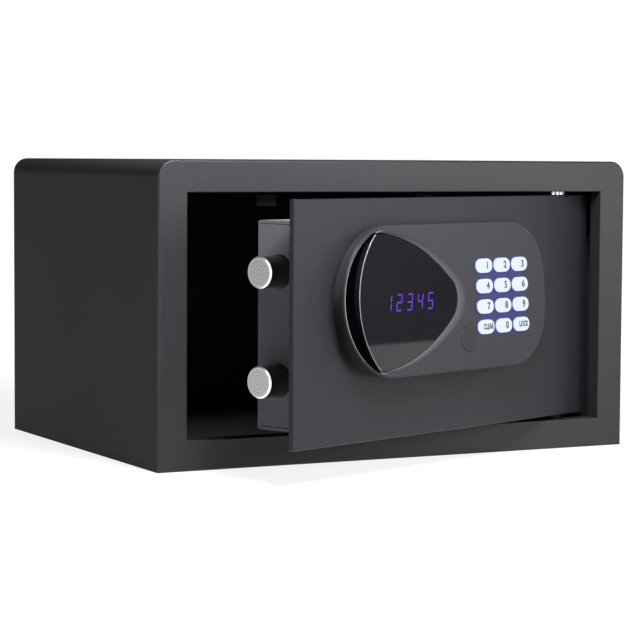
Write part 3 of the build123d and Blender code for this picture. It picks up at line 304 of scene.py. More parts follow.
# %% Collars, the lower one with painted shade
SHADE_ENDS = (0.09, 0.11)  # two heights between the lower collar and the upper one
collar = new_material("nickel_plate_lower_painted_shade")
where = add(collar, "TexCoord", {}).outputs["Object"]
apart = add(collar, "SeparateXYZ", {"Vector": where})
lit_share = add(collar, "MapRange", {
    "Value": apart.outputs["Z"], "From Min": SHADE_ENDS[0], "From Max": SHADE_ENDS[1]})
shade_noise = add(collar, "TexNoise", {"Vector": where, "Scale": 500.0})
# painted shade: the lower collar's near-black mottle stands in for the dark gap under the door
shade_mottle = add(collar, "MixRGB", {
    "Fac": shade_noise.outputs["Fac"], "Color1": linear("0d0d0e"), "Color2": linear("1c1c1e")})
shade = add(collar, "MixRGB", {
    "Fac": lit_share.outputs["Result"], "Color1": shade_mottle.outputs["Color"], "Color2": linear("c4c5c8")})
finish(collar, add(collar, "BsdfPrincipled", {
    "Base Color": shade.outputs["Color"], "Metallic": 1.0, "Roughness": 0.2}))
dress(collar, "hinge_collars")

# %% [markdown]
# ## Moulded plastics
# The housing is injection-moulded ABS with a spark-eroded grain, black-grey like the door.  Grained
# plastic is matt but still shows a soft sheen where it turns away.  The lens is smoked acrylic,
# polished like glass: almost black, with a clean reflection.  One function makes all the plastics,
# because only the colour, the shine and the grain's depth differ.

# %% Plastics
def moulded(name, dark, light, roughness, grain, depth, coat=0.0, shine=0.5):
    """A moulded plastic; grain is its texture's size in millimetres and depth its height."""
    plastic = new_material(name)
    where = add(plastic, "TexCoord", {}).outputs["Object"]
    texture = add(plastic, "TexNoise", {"Vector": where, "Scale": 1000.0 / grain, "Detail": 2.0})
    shade = add(plastic, "ValToRGB", {"Fac": texture.outputs["Fac"]})
    for stop, place, tone in zip(shade.color_ramp.elements, (0.3, 0.7), (dark, light)):
        stop.position, stop.color = place, linear(tone)
    bump = add(plastic, "Bump", {
        "Height": texture.outputs["Fac"], "Strength": 0.3, "Distance": depth / 1000})
    return finish(plastic, add(plastic, "BsdfPrincipled", {
        "Base Color": shade.outputs["Color"], "Roughness": roughness,
        "IOR": 1.5, "Specular IOR Level": shine,
        "Coat Weight": coat, "Coat Roughness": 0.03, "Normal": bump.outputs["Normal"]}))


housing_plastic = moulded("grained_abs", "26262b", "2c2c31", 0.5, 0.8, 0.05, shine=0.25)
dress(housing_plastic, "lock_housing")
dress(moulded("smooth_abs_cap", "242428", "29292e", 0.38, 0.8, 0.02, shine=0.3), "key_cover")
dress(moulded("smoked_acrylic", "18171b", "1b1a1e", 0.02, 40.0, 0.0), "display_lens")
# partly painted shade: the liner is black ABS, given near-zero colour and no shine so the finger
# recess stays dark under the lights
dress(moulded("recess_black_abs_painted_shade", "020202", "030303", 0.8, 0.8, 0.03, shine=0.0), "recess_liner")
dress(moulded("moulded_black_nylon", "151516", "1d1d1e", 0.5, 1.0, 0.05),
      "gearbox", "battery_tray", "battery_lid", "display_module", "bolt_bushes")
dress(moulded("natural_acetal", "d9d6cb", "e4e1d8", 0.4, 3.0, 0.02), "drive_pinion")
dress(moulded("red_abs", "8e1a18", "a0201d", 0.35, 2.0, 0.02), "reset_button")
dress(moulded("grey_cable_jacket", "8a8b8d", "98999b", 0.5, 2.0, 0.02), "ribbon_cable")
dress(moulded("solder_mask_green", "0f3d24", "14502f", 0.3, 2.5, 0.02, coat=0.4),
      "keypad_board", "control_board")
dress(moulded("cell_sleeve_black", "1b1b1d", "26262a", 0.25, 6.0, 0.0, coat=0.5), "battery_cells")
# partly painted shade: the rubber buffers are black, and darker still with little shine, for the
# dark inside of the opening
dress(moulded("neoprene_rubber_painted_shade", "0a0a0b", "101011", 0.8, 0.7, 0.08, shine=0.1), "stop_buffers")

# %% [markdown]
# The lamps behind the keys light the housing too, and its thin wall between the rows of keys shows
# violet-blue.  The glow is full inside the block of keys, measured along the face from the middles
# of the outer keys, and fades over the 7.5 mm round it.

# %% Glow round the keys
def glow_between(plastic, low_key, high_key, hue, most, fade):
    """Lets lamplight through a plastic, inside the oblong between the middles of two keys."""
    where = add(plastic, "TexCoord", {}).outputs["Object"]
    offs = []
    for direction in (face_right, face_up):
        ends = sorted(middle(key, direction) for key in (low_key, high_key))
        along = add(plastic, "VectorMath", {0: where, 1: direction}, operation="DOT_PRODUCT")
        inside = add(plastic, "Clamp", {
            "Value": along.outputs["Value"], "Min": ends[0], "Max": ends[1]})
        offs.append(add(plastic, "Math", {
            0: along.outputs["Value"], 1: inside.outputs["Result"]}, operation="SUBTRACT"))
    off = add(plastic, "CombineXYZ", {"X": offs[0].outputs[0], "Y": offs[1].outputs[0]})
    away = add(plastic, "VectorMath", {0: off.outputs["Vector"]}, operation="LENGTH")
    glow = add(plastic, "MapRange", {
        "Value": away.outputs["Value"], "From Min": 0.0, "From Max": fade,
        "To Min": most, "To Max": 0.0})
    shader = shader_of(plastic)
    shader.inputs["Emission Color"].default_value = linear(hue)
    plastic.node_tree.links.new(glow.outputs["Result"], shader.inputs["Emission Strength"])
    print(plastic.name, "glows between", low_key, "and", high_key)


glow_between(housing_plastic, "key_clear", "key_3", hue="0c2cff", most=0.14, fade=0.0075)

# %% [markdown]
# The bevel from the housing's face down to the lens is coloured lighter than the face, most of all
# where it meets the lens: a painted highlight for the light it catches.  Its faces are found by
# their slope beside the lens, and an attribute marks them for the material.

# %% Painted highlight on the bevel round the lens
BEVEL_FROM = 0.012          # the bevel is marked from this far right of the lens's left end
BEVEL_TO = 0.010            # to this far right of its right end
BEVEL_SLOPE = (0.3, 0.995)  # the lean of its faces' normals: 1 would lie flat, 0 stand upright


def paint_bevel_highlight(plastic, node, tone):
    """Marks the sloping faces beside the lens, and paints a highlight on them, strongest down their
    slope.
    """
    shell = nodes[node].data
    lens_left, lens_right = span("display_lens", face_right)
    lens_low, lens_high = span("display_lens", face_up)
    marks = shell.attributes.new("bevel", "FLOAT", "FACE")
    for side, mark in zip(shell.polygons, marks.data):
        right, up = side.center.dot(face_right), side.center.dot(face_up)
        in_length = lens_left + BEVEL_FROM < right < lens_right + BEVEL_TO
        slopes = BEVEL_SLOPE[0] < side.normal.dot(face_out) < BEVEL_SLOPE[1]
        mark.value = float(in_length and lens_low < up < lens_high and slopes)
    print("bevel faces", sum(mark.value > 0 for mark in marks.data))
    where = add(plastic, "TexCoord", {}).outputs["Object"]
    height = add(plastic, "VectorMath", {0: where, 1: face_out}, operation="DOT_PRODUCT")
    down = add(plastic, "MapRange", {
        "Value": height.outputs["Value"],
        "From Min": span("display_lens", face_out)[1], "From Max": span(node, face_out)[1],
        "To Min": 1.0, "To Max": 0.0})
    bevel = add(plastic, "Attribute", {}, attribute_name="bevel")
    share = add(plastic, "Math", {
        0: down.outputs["Result"], 1: bevel.outputs["Fac"]}, operation="MULTIPLY")
    shader = shader_of(plastic)
    plain = shader.inputs["Base Color"].links[0].from_socket
    # painted highlight: the bevel's colour is mixed towards a lighter tone
    highlighted = add(plastic, "MixRGB", {
        "Fac": share.outputs[0], "Color1": plain, "Color2": linear(tone)})
    plastic.node_tree.links.new(highlighted.outputs["Color"], shader.inputs["Base Color"])


paint_bevel_highlight(housing_plastic, "lock_housing", "4e4e53")

# %% [markdown]
# The housing's rim beside the finger recess gets a painted highlight, a fine light line along its
# inner edge, and painted shade that darkens the round outside it.  The rim is an arc about one
# centre, so the distance from that centre says where on the rim a spot lies.  The arc is the one
# through three points of the recess's liner, the leftmost one and the two tips.

# %% Painted highlight and shade on the rim of the finger recess
SHADE_BAND = (0.0008, 0.0016)        # measured outwards from the liner's arc
HIGHLIGHT_BAND = (-0.0002, 0.0007)
BAND_SOFT = 0.0001                  # each band comes and goes over this width
RIM_BEGINS = (-0.006, -0.016)       # the rim's marks come up between these, left of the centre


def left_arc(node):
    """The arc of a node's left edge: its radius, its centre along the face, and its tips' rise."""
    corners = [corner.co for corner in nodes[node].data.vertices]
    leftmost = min(corners, key=lambda point: point.dot(face_right))
    topmost = max(corners, key=lambda point: point.dot(face_up))
    centre_up = middle(node, face_up)
    rise = topmost.dot(face_up) - centre_up
    inward = topmost.dot(face_right) - leftmost.dot(face_right)
    radius = (rise ** 2 + inward ** 2) / (2 * inward)
    return radius, leftmost.dot(face_right) + radius, centre_up, rise


def paint_rim_highlight_and_shade(plastic, liner, highlight_tone, dark):
    """Paints a highlight line on the recess's edge, and painted shade on the round outside it."""
    radius, centre_right, centre_up, _ = left_arc(liner)
    centre = face_right * centre_right + face_up * centre_up
    where = add(plastic, "TexCoord", {}).outputs["Object"]
    off = add(plastic, "VectorMath", {0: where, 1: centre}, operation="SUBTRACT")
    sides = [add(plastic, "VectorMath", {
        0: off.outputs["Vector"], 1: direction}, operation="DOT_PRODUCT")
        for direction in (face_right, face_up)]
    flat = add(plastic, "CombineXYZ", {
        "X": sides[0].outputs["Value"], "Y": sides[1].outputs["Value"]})
    away = add(plastic, "VectorMath", {0: flat.outputs["Vector"]}, operation="LENGTH")
    left = add(plastic, "MapRange", {
        "Value": sides[0].outputs["Value"], "From Min": RIM_BEGINS[0], "From Max": RIM_BEGINS[1]})
    shader = shader_of(plastic)
    shade = shader.inputs["Base Color"].links[0].from_socket
    # painted shade on the outer band, then a painted highlight on the inner one
    for (start, end), tone in ((SHADE_BAND, dark), (HIGHLIGHT_BAND, highlight_tone)):
        begun = add(plastic, "MapRange", {
            "Value": away.outputs["Value"],
            "From Min": radius + start - BAND_SOFT, "From Max": radius + start})
        over = add(plastic, "MapRange", {
            "Value": away.outputs["Value"],
            "From Min": radius + end, "From Max": radius + end + BAND_SOFT,
            "To Min": 1.0, "To Max": 0.0})
        band = add(plastic, "Math", {
            0: begun.outputs["Result"], 1: over.outputs["Result"]}, operation="MULTIPLY")
        here = add(plastic, "Math", {
            0: band.outputs[0], 1: left.outputs["Result"]}, operation="MULTIPLY")
        shade = add(plastic, "MixRGB", {
            "Fac": here.outputs[0], "Color1": shade, "Color2": linear(tone)}).outputs["Color"]
    plastic.node_tree.links.new(shade, shader.inputs["Base Color"])
    print("recess radius", round(radius * 1000, 2), "mm")


# the light line is a painted highlight and the dark round a painted shade
paint_rim_highlight_and_shade(housing_plastic, "recess_liner", highlight_tone="77777c", dark="121215")

# %% [markdown]
# ## Rubber mat
# A ribbed rubber mat lies on the cabinet's floor.  A wave draws its ribs, about 5 mm apart, and the
# crumb of the rubber, a noise finer than a millimetre, breaks them up.

# %% Floor mat material
mat_rubber = new_material("ribbed_rubber_mat")
where = add(mat_rubber, "TexCoord", {}).outputs["Object"]
ribs = add(mat_rubber, "TexWave", {
    "Vector": where, "Scale": 60.0}, wave_type="BANDS", bands_direction="X")
crumb = add(mat_rubber, "TexNoise", {"Vector": where, "Scale": 1200.0, "Detail": 2.0})
height = add(mat_rubber, "Math", {
    0: ribs.outputs["Fac"], 1: crumb.outputs["Fac"]}, operation="ADD")
shade = add(mat_rubber, "ValToRGB", {"Fac": crumb.outputs["Fac"]})
for stop, tone in zip(shade.color_ramp.elements, ("141415", "222223")):
    stop.color = linear(tone)
bump = add(mat_rubber, "Bump", {"Height": height.outputs[0], "Strength": 0.5, "Distance": 0.0006})
finish(mat_rubber, add(mat_rubber, "BsdfPrincipled", {
    "Base Color": shade.outputs["Color"], "Roughness": 0.85, "Normal": bump.outputs["Normal"]}))
dress(mat_rubber, "floor_mat")

# %% [markdown]
# ## Light guide
# Behind the keys lies a sheet of clear acrylic that is lit from its edge.  It spreads the light of
# a few lamps over all twelve keys, so it glows blue, and a little unevenly.

# %% Light guide material
guide = new_material("edge_lit_acrylic")
where = add(guide, "TexCoord", {}).outputs["Object"]
haze = add(guide, "TexNoise", {"Vector": where, "Scale": 400.0})
glow = add(guide, "MapRange", {"Value": haze.outputs["Fac"], "To Min": 0.6, "To Max": 0.8})
finish(guide, add(guide, "BsdfPrincipled", {
    "Base Color": linear("c8d4ff"), "Roughness": 0.2, "Emission Color": linear("3444c8"),
    "Emission Strength": glow.outputs["Result"]}))
dress(guide, "light_guide")

# %% [markdown]
# ## Keycaps
# Each key is a translucent silicone cap, a rounded oblong with a low crown, lit blue-white from
# behind.  It could be cut from a cube with a bevel, but an oblong with full ends is truer when it
# grows out of a circle: it is drawn long, its halves are moved apart, the outline is filled and
# extruded into the cap's side, and small insets raise the crown.  The cap is drawn once and copied
# twelve times.

# %% Model one keycap
FLANGE = 0.00045            # the flange stands this far beyond the cap
FLANGE_THICK = 0.001
CAP_DEEP = 0.0033           # from the crown down to the flange
CROWN = 0.00035             # the crown's rise over the cap's edge
CROWN_STEPS = ((0.00018, 0.00016), (0.0003, 0.0001), (0.0009, 0.00005), (0.0012, 0.00003))
CORNER = 0.0044
END_LONG = 1.35 * CORNER    # the ends are ellipses, longer than they are tall
STEM_INSET, STEM_RADIUS = 0.0028, 0.0018    # the stem passes through a hole in the light guide
SMOOTH = math.radians(40)   # faces that meet at less than this are shaded as one
TINY = 1e-6
key_names = ["key_1", "key_2", "key_3", "key_4", "key_5", "key_6", "key_7", "key_8", "key_9",
             "key_clear", "key_0", "key_lock"]
flange_width = span("key_5", face_right)
flange_height = span("key_5", face_up)
key_low, key_top = span("key_5", face_out)
cap_wide = flange_width[1] - flange_width[0] - 2 * FLANGE
cap_tall = flange_height[1] - flange_height[0] - 2 * FLANGE
print("keycap", round(cap_wide * 1000, 2), "x", round(cap_tall * 1000, 2), "mm")


def deselect():
    """Drops the selection, which after loading is all CAD nodes."""
    for thing in bpy.context.selected_objects:
        thing.select_set(False)


def start_edit(piece):
    """Opens a piece in edit mode."""
    bpy.context.view_layer.objects.active = piece
    piece.select_set(True)
    bpy.ops.object.mode_set(mode="EDIT")


def pick(piece, test):
    """Selects the vertices of the piece being edited that pass a test."""
    bpy.ops.mesh.select_all(action="DESELECT")
    bpy.ops.object.mode_set(mode="OBJECT")
    for corner in piece.data.vertices:
        corner.select = test(corner.co)
    bpy.ops.object.mode_set(mode="EDIT")


deselect()
bpy.ops.mesh.primitive_circle_add(vertices=48, radius=CORNER, location=(0, 0, 0))
cap = bpy.context.object
cap.name = "keycap_pattern"
start_edit(cap)
bpy.ops.transform.resize(value=(END_LONG / CORNER, 1, 1))
for test, shift in ((lambda co: co.x > TINY, (cap_wide / 2 - END_LONG, 0, 0)),
                    (lambda co: co.x < -TINY, (END_LONG - cap_wide / 2, 0, 0)),
                    (lambda co: co.y > TINY, (0, cap_tall / 2 - CORNER, 0)),
                    (lambda co: co.y < -TINY, (0, CORNER - cap_tall / 2, 0))):
    pick(cap, test)
    bpy.ops.transform.translate(value=shift)
bpy.ops.mesh.select_all(action="SELECT")
bpy.ops.mesh.edge_face_add()
bpy.ops.mesh.extrude_region_move(TRANSFORM_OT_translate={"value": (0, 0, CAP_DEEP - CROWN)})
for inward, upward in CROWN_STEPS:
    bpy.ops.mesh.inset(thickness=inward, depth=0)
    bpy.ops.transform.translate(value=(0, 0, upward))
bpy.ops.object.mode_set(mode="OBJECT")
print("keycap faces", len(cap.data.polygons))

# %% [markdown]
# Below the housing's skin the cap has a flange that stops it falling out, and a round stem that
# reaches through a hole in the light guide for the rubber dome.  The lower face is widened for the
# flange, extruded, then inset, drawn in to the stem's 1.8 mm radius and extruded again, so that the
# key stays one closed piece.  An attribute, one on the crown and zero round its side, lets one
# material make the crown white and the side blue.

# %% Flange and stem of the keycap
CROWN_EDGE = CAP_DEEP - CROWN + 0.0001      # the crown is all that lies higher than this
start_edit(cap)
bpy.ops.mesh.select_mode(type="FACE")
bpy.ops.mesh.select_all(action="DESELECT")
bpy.ops.object.mode_set(mode="OBJECT")
for side in cap.data.polygons:
    side.select = side.center.z < TINY and abs(side.normal.z) > 0.9
bpy.ops.object.mode_set(mode="EDIT")
bpy.ops.mesh.extrude_region_move(TRANSFORM_OT_translate={"value": (0, 0, 0)})
spread = ((cap_wide + 2 * FLANGE) / cap_wide, (cap_tall + 2 * FLANGE) / cap_tall, 1)
bpy.ops.transform.resize(value=spread)
bpy.ops.mesh.extrude_region_move(TRANSFORM_OT_translate={"value": (0, 0, -FLANGE_THICK)})
bpy.ops.mesh.inset(thickness=STEM_INSET, depth=0)
base = (cap_wide + 2 * FLANGE - 2 * STEM_INSET, cap_tall + 2 * FLANGE - 2 * STEM_INSET)
bpy.ops.transform.resize(value=(2 * STEM_RADIUS / base[0], 2 * STEM_RADIUS / base[1], 1))
stem = key_top - key_low - CAP_DEEP - FLANGE_THICK
bpy.ops.mesh.extrude_region_move(TRANSFORM_OT_translate={"value": (0, 0, -stem)})
bpy.ops.mesh.select_all(action="SELECT")
bpy.ops.mesh.normals_make_consistent(inside=False)
bpy.ops.object.mode_set(mode="OBJECT")
lit = cap.data.attributes.new("crown", "FLOAT", "POINT")
for corner, mark in zip(cap.data.vertices, lit.data):
    mark.value = 1.0 if corner.co.z > CROWN_EDGE else 0.0
bpy.ops.object.shade_smooth_by_angle(angle=SMOOTH)
print("keycap measures", [round(size * 1000, 2) for size in cap.dimensions])

# %% [markdown]
# ## Lit silicone
# The cap glows from the board behind it.  The crown is bleached white by the light; the thin side
# lets more of the blue through and throws it on the housing round the key.

# %% Lit silicone material
silicone = new_material("lit_silicone")
crown = add(silicone, "Attribute", {}, attribute_name="crown").outputs["Fac"]
where = add(silicone, "TexCoord", {}).outputs["Object"]
haze = add(silicone, "TexNoise", {"Vector": where, "Scale": 350.0, "Detail": 2.0})
tint = add(silicone, "MixRGB", {
    "Fac": crown, "Color1": linear("2c38a4"), "Color2": linear("e2e8f6")})
power = add(silicone, "MapRange", {"Value": crown, "To Min": 0.9, "To Max": 0.8})
uneven = add(silicone, "MapRange", {"Value": haze.outputs["Fac"], "To Min": 0.96, "To Max": 1.04})
strength = add(silicone, "Math", {
    0: power.outputs["Result"], 1: uneven.outputs["Result"]}, operation="MULTIPLY")
finish(silicone, add(silicone, "BsdfPrincipled", {
    "Base Color": linear("5a6478"), "Roughness": 0.35, "Emission Color": tint.outputs["Color"],
    "Emission Strength": strength.outputs[0]}))
cap.data.materials.append(silicone)
print("keycap material", silicone.name)

# %% [markdown]
# ## Legends
# The numbers and the two words are printed in dark grey ink, to the right of each cap's middle.
# Text is the quickest way to draw them: it is given a small thickness, made a mesh, and laid on the
# crown.

# %% Set the keys and print the legends
INK = 0.00003               # ink stands this proud of the crown
BOLD = 0.00020              # each stroke is this much wider than the plain letter, on each side
WORD_PRINT = (0.0050, 0.74, 0.0022)     # a word's height, its squeeze and its shift to the right
NUMBER_PRINT = (0.0064, 1.0, 0.0034)    # and a number's
ink = moulded("legend_ink", "26262e", "2c2c36", 0.6, 1.5, 0.0)


def copy_of(pattern, name, matrix):
    """A copy with its own mesh, placed for good."""
    piece = bpy.data.objects.new(name, pattern.data.copy())
    scene.collection.objects.link(piece)
    piece.data.transform(matrix)
    return piece


def legend(name, words, tall, squeeze, matrix):
    """Printed words as a thin mesh; their middle lies at the matrix's origin."""
    deselect()
    bpy.ops.object.text_add(location=(0, 0, 0))
    text = bpy.context.object
    text.data.body = words
    text.data.size = tall
    text.data.extrude = INK / 2
    text.data.offset = BOLD
    text.data.align_x, text.data.align_y = "CENTER", "CENTER"
    text.data.resolution_u = 4
    bpy.ops.object.convert(target="MESH")
    text = bpy.context.object
    text.name = name
    text.data.transform(matrix @ Matrix.Diagonal((squeeze, 1, 1, 1)))
    text.data.materials.append(ink)
    return text


for node in key_names:
    word = node[4:]
    right, up = middle(node, face_right), middle(node, face_up)
    key_cap = copy_of(cap, "cap_" + word, on_face(right, up, key_top - CAP_DEEP))
    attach(key_cap, "button_" + word)
    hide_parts(node)
    tall, squeeze, shift = WORD_PRINT if len(word) > 1 else NUMBER_PRINT
    words = legend("legend_" + word, word.upper(), tall, squeeze,
                   on_face(right + shift, up, key_top + INK))
    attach(words, "button_" + word)
bpy.data.objects.remove(cap)
print("keys set:", len(key_names))

# %% [markdown]
# ## The lens's bright edge
# A cut sheet of acrylic has a thin polished arris, and the one on the lens's left side draws a fine
# bright line beside the finger recess.  It is an arc of a round bead, coloured light grey where the
# smoked lens is near black, so its brightness is partly a painted highlight.  Its centre and its
# radius follow from three points of the lens, the leftmost one and the two tips.  A small circle
# stood at one tip and spun about the arc's centre makes the bead in one move, where a curve with a
# bevel would need its ends closed.

# %% Spin the bead
BEAD = 0.00034              # the bead's radius
BEAD_REACH = 0.97           # it takes this share of the arc, and stops short of the tips
BEAD_SUNK = 0.7             # its middle lies this share of its radius below the lens's face
lens_top = span("display_lens", face_out)[1]
bow_radius, bow_right, bow_up, rise = left_arc("display_lens")
half_angle = math.asin(rise / bow_radius) * BEAD_REACH
deselect()
bpy.ops.mesh.primitive_circle_add(vertices=12, radius=BEAD, fill_type="NGON",
                                  location=(BEAD - bow_radius, 0, 0), rotation=(math.pi / 2, 0, 0))
bead = bpy.context.object
bead.name = "lens_polished_edge"
bpy.ops.object.transform_apply()
start_edit(bead)
bpy.ops.mesh.select_all(action="SELECT")
bpy.ops.transform.rotate(value=half_angle, orient_axis="Z", center_override=(0, 0, 0))
bpy.ops.mesh.spin(steps=64, angle=-2 * half_angle, center=(0, 0, 0), axis=(0, 0, 1))
bpy.ops.mesh.select_all(action="SELECT")
bpy.ops.mesh.remove_doubles(threshold=0.00001)
bpy.ops.mesh.normals_make_consistent(inside=False)
bpy.ops.object.mode_set(mode="OBJECT")
bead.data.transform(on_face(bow_right, bow_up, lens_top - BEAD * BEAD_SUNK))
bpy.ops.object.shade_smooth_by_angle(angle=SMOOTH)
# painted highlight: the arris is light grey rather than the lens's smoked black
bead.data.materials.append(moulded("acrylic_arris_painted_highlight", "77777b", "86868a", 0.12, 6.0, 0.0))
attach(bead, "door")
heights = [corner.co.dot(face_up) * 1000 for corner in bead.data.vertices]
print("bow radius", round(bow_radius * 1000, 2), "mm, bead reaches from",
      round(min(heights), 1), "to", round(max(heights), 1), "mm")

# %% [markdown]
# ## Digits
# A seven-segment display draws a number with seven bars, slanted by about ten degrees.  One bar is
# a flat plane with its two ends drawn to points and given a thickness.

# %% Model one bar
BAR_WIDE, BAR_THICK = 0.0010, 0.00006
DIGIT_TALL, DIGIT_WIDE = 0.0110, 0.0056
BAR_SHORT = 1.6             # without its points a bar is this many of its widths short of the digit
POINT_LONG = 0.45           # a point's length, in widths of the bar
POINT_BLUNT = 0.15          # what is left of the width at the point
deselect()
bpy.ops.mesh.primitive_plane_add(size=1, location=(0, 0, 0))
bar = bpy.context.object
start_edit(bar)
bpy.ops.transform.resize(value=(DIGIT_WIDE - BAR_SHORT * BAR_WIDE, BAR_WIDE, 1))
for side in (-1, 1):
    bpy.ops.mesh.select_mode(type="EDGE")
    bpy.ops.mesh.select_all(action="DESELECT")
    bpy.ops.object.mode_set(mode="OBJECT")
    outermost = max(side * corner.co.x for corner in bar.data.vertices)
    for edge in bar.data.edges:
        edge.select = all(side * bar.data.vertices[end].co.x > outermost - TINY
                          for end in edge.vertices)
    bpy.ops.object.mode_set(mode="EDIT")
    bpy.ops.mesh.extrude_edges_move(
        TRANSFORM_OT_translate={"value": (side * BAR_WIDE * POINT_LONG, 0, 0)})
    bpy.ops.transform.resize(value=(1, POINT_BLUNT, 1))
bpy.ops.mesh.select_all(action="SELECT")
bpy.ops.mesh.extrude_region_move(TRANSFORM_OT_translate={"value": (0, 0, BAR_THICK)})
bpy.ops.mesh.select_all(action="SELECT")
bpy.ops.mesh.normals_make_consistent(inside=False)
bpy.ops.object.mode_set(mode="OBJECT")
print("bar measures", [round(size * 1000, 2) for size in bar.dimensions])

# %% [markdown]
# The diodes behind the segments are violet.  A noise of about a millimetre makes their light
# uneven, as the milky filler of a real segment does.

# %% Lit segment material
led = new_material("violet_led")
where = add(led, "TexCoord", {}).outputs["Object"]
flicker = add(led, "TexNoise", {"Vector": where, "Scale": 900.0})
glow = add(led, "MapRange", {"Value": flicker.outputs["Fac"], "To Min": 0.75, "To Max": 0.98})
finish(led, add(led, "BsdfPrincipled", {
    "Base Color": linear("0c0820"), "Roughness": 0.1, "Emission Color": linear("7448e6"),
    "Emission Strength": glow.outputs["Result"]}))
bar.data.materials.append(led)
print("segment material", led.name)

# %% [markdown]
# The bar is copied for every lit segment, turned for the upright ones, and the whole digit is
# slanted by a matrix.  The bars of one digit are joined, so that each digit is one piece.

# %% Set the digits
DIGIT_PITCH = 0.0106
DIGIT_SHIFT = -0.0036       # the lit digits stand left of the display block's middle
SLANT = math.radians(10)
UPRIGHT_GAP = 0.3           # an upright bar's share of the height is this many bar widths short
UPRIGHT_SHARE = 0.94        # and it takes this much of what is left
half_wide, half_tall = (DIGIT_WIDE - BAR_WIDE) / 2, (DIGIT_TALL - BAR_WIDE) / 2
bar_long = DIGIT_WIDE - (BAR_SHORT - 2 * POINT_LONG) * BAR_WIDE
stretch = (half_tall - UPRIGHT_GAP * BAR_WIDE) / bar_long * UPRIGHT_SHARE
level = Matrix.Identity(4)
upright = Matrix.Rotation(math.pi / 2, 4, "Z") @ Matrix.Diagonal((stretch, 1, 1, 1))
segments = {name: Matrix.Translation((right, up, 0)) @ turn for name, right, up, turn in (
    ("top", 0, half_tall, level),
    ("mid", 0, 0, level),
    ("low", 0, -half_tall, level),
    ("upper_left", -half_wide, half_tall / 2, upright),
    ("upper_right", half_wide, half_tall / 2, upright),
    ("lower_left", -half_wide, -half_tall / 2, upright),
    ("lower_right", half_wide, -half_tall / 2, upright))}
lit_segments = {
    "1": ["upper_right", "lower_right"],
    "2": ["top", "upper_right", "mid", "lower_left", "low"],
    "3": ["top", "upper_right", "mid", "lower_right", "low"],
    "4": ["upper_left", "upper_right", "mid", "lower_right"],
    "5": ["top", "upper_left", "mid", "lower_right", "low"],
}
slant = Matrix.Identity(4)
slant[0][1] = math.tan(SLANT)
display_right, display_up = middle("display_module", face_right), middle("display_module", face_up)
for index, number in enumerate("12345"):
    place = on_face(display_right + DIGIT_SHIFT + (index - 2) * DIGIT_PITCH, display_up, lens_top)
    deselect()
    parts = [copy_of(bar, f"bar_{number}_{name}", place @ slant @ segments[name])
             for name in lit_segments[number]]
    for part in parts:
        part.select_set(True)
    bpy.context.view_layer.objects.active = parts[0]
    bpy.ops.object.join()
    digit = bpy.context.object
    digit.name = "digit_" + number
    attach(digit, "door")
    print(digit.name, "of", len(parts), "bars")
bpy.data.objects.remove(bar)

# %% [markdown]
# ## Camera
# The safe is seen from the front left, from just above its roof, through a long lens that keeps its
# uprights straight.

# %% Camera
bpy.ops.object.camera_add(location=(-0.75942, -1.47679, 0.20201))
camera = bpy.context.object
yaw, pitch, roll = math.radians(27.429), math.radians(-4.044), math.radians(0.328)
ahead = Vector((math.sin(yaw) * math.cos(pitch), math.cos(yaw) * math.cos(pitch), math.sin(pitch)))
level_right = Vector((math.cos(yaw), -math.sin(yaw), 0))
level_up = level_right.cross(ahead)
across = level_right * math.cos(roll) + level_up * math.sin(roll)
above = level_up * math.cos(roll) - level_right * math.sin(roll)
camera.rotation_euler = Matrix((across, above, -ahead)).transposed().to_euler()
camera.data.lens, camera.data.sensor_width = 129.64, 36.0
camera.data.clip_end = 50
scene.camera = camera
print("camera at", [round(value, 3) for value in camera.location], "lens", camera.data.lens)

# %% [markdown]
# ## Studio
# The safe stands on a white sweep, which is one very wide plane.  The sweep glows by itself, so
# that it stays white where the lights fall off.  Its glow is set far lower for the light that it
# throws back on the safe.

# %% Floor
FLOOR_SIDE = 66
FLOOR_DROP = 0.0002         # the floor lies this far under the safe, so that no two faces coincide
deselect()
bpy.ops.mesh.primitive_plane_add(size=FLOOR_SIDE, location=(0, 0, -FLOOR_DROP))
floor = bpy.context.object
floor.name = "studio_floor"
sweep = new_material("white_sweep")
where = add(sweep, "TexCoord", {}).outputs["Object"]
fibre = add(sweep, "TexNoise", {"Vector": where, "Scale": 60.0})
pale = add(sweep, "MixRGB", {
    "Fac": fibre.outputs["Fac"], "Color1": linear("7c7c7c"), "Color2": linear("828282")})
away = add(sweep, "VectorMath", {0: where}, operation="LENGTH")
backlit = add(sweep, "MapRange", {
    "Value": away.outputs["Value"], "From Min": 0.3, "From Max": 1.0,
    "To Min": 0.95, "To Max": 1.16})
ray = add(sweep, "LightPath", {})
thrown = add(sweep, "MapRange", {
    "Value": ray.outputs["Is Diffuse Ray"], "To Min": 0.9, "To Max": 0.18})
strength = add(sweep, "Math", {
    0: backlit.outputs["Result"], 1: thrown.outputs["Result"]}, operation="MULTIPLY")
finish(sweep, add(sweep, "BsdfPrincipled", {
    "Base Color": pale.outputs["Color"], "Roughness": 0.9, "Emission Color": linear("ffffff"),
    "Emission Strength": strength.outputs[0]}))
floor.data.materials.append(sweep)
print("floor", FLOOR_SIDE, "m wide")

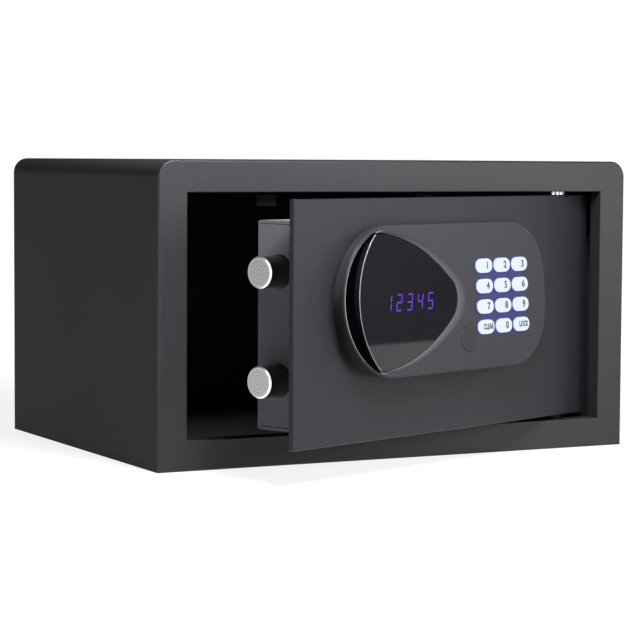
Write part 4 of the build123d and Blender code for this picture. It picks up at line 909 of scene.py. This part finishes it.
# %% [markdown]
# A soft light at the front right lights the frame, and throws the door's shade on the lower band.
# A broad light far to the right nearly grazes the front, so the frame's side shades the door's
# hinge end, which falls dark.  A small light close above the door's free edge falls off towards the
# hinge, and brings up the upper edge.  Nothing shines on the left side, which gets only what the
# floor throws back.  Two lights are set to show in shine alone: a tall one at the left picks out
# the soft corner between the side and the frame, and a narrow strip draws the bright line down the
# bolts.

# %% Lights
for name, place, width, height, power, target, on_walls in (
        ("long_light", (0.75, -1.15, 0.42), 0.4, 0.4, 7.5, (0.0, -0.17, 0.1), True),
        ("side_light", (2.3, 0.2, 0.66), 0.7, 0.35, 15, (0.05, -0.1, 0.1), True),
        ("upper_light", (-0.1, -0.5, 0.55), 0.12, 0.25, 7.5, (-0.1, -0.16, 0.1), True),
        ("edge_light", (-1.9, -1.0, 0.25), 0.15, 0.9, 12, (0.0, -0.17, 0.1), False),
        ("strip_light", (-0.45, -2.2, 0.4), 0.12, 1.2, 9, (0.0, -0.17, 0.1), False)):
    bpy.ops.object.light_add(type="AREA", location=place)
    lamp = bpy.context.object
    lamp.name = name
    lamp.data.shape = "RECTANGLE"
    lamp.data.size, lamp.data.size_y = width, height
    lamp.data.energy = power
    lamp.visible_diffuse = on_walls
    lamp.rotation_euler = (Vector(target) - lamp.location).to_track_quat("-Z", "Y").to_euler()
    print(name, power, "W")

# %% [markdown]
# The room beyond is dark, which is what the smoked lens mirrors above the floor's horizon.  Only
# the eye, where it looks past the safe, sees plain white.

# %% Room
room = bpy.data.worlds.new("studio_room")
room.use_nodes = True
room.node_tree.nodes.clear()
path = add(room, "LightPath", {})
seen = add(room, "MixRGB", {
    "Fac": path.outputs["Is Glossy Ray"], "Color1": linear("2c2c2c"), "Color2": linear("303032")})
shown = add(room, "MixRGB", {
    "Fac": path.outputs["Is Camera Ray"], "Color1": seen.outputs["Color"], "Color2": (1, 1, 1, 1)})
sky = add(room, "Background", {"Color": shown.outputs["Color"], "Strength": 1.0})
end = add(room, "OutputWorld", {})
room.node_tree.links.new(sky.outputs[0], end.inputs["Surface"])
scene.world = room
scene.view_settings.view_transform = "Standard"
print("world", room.name)
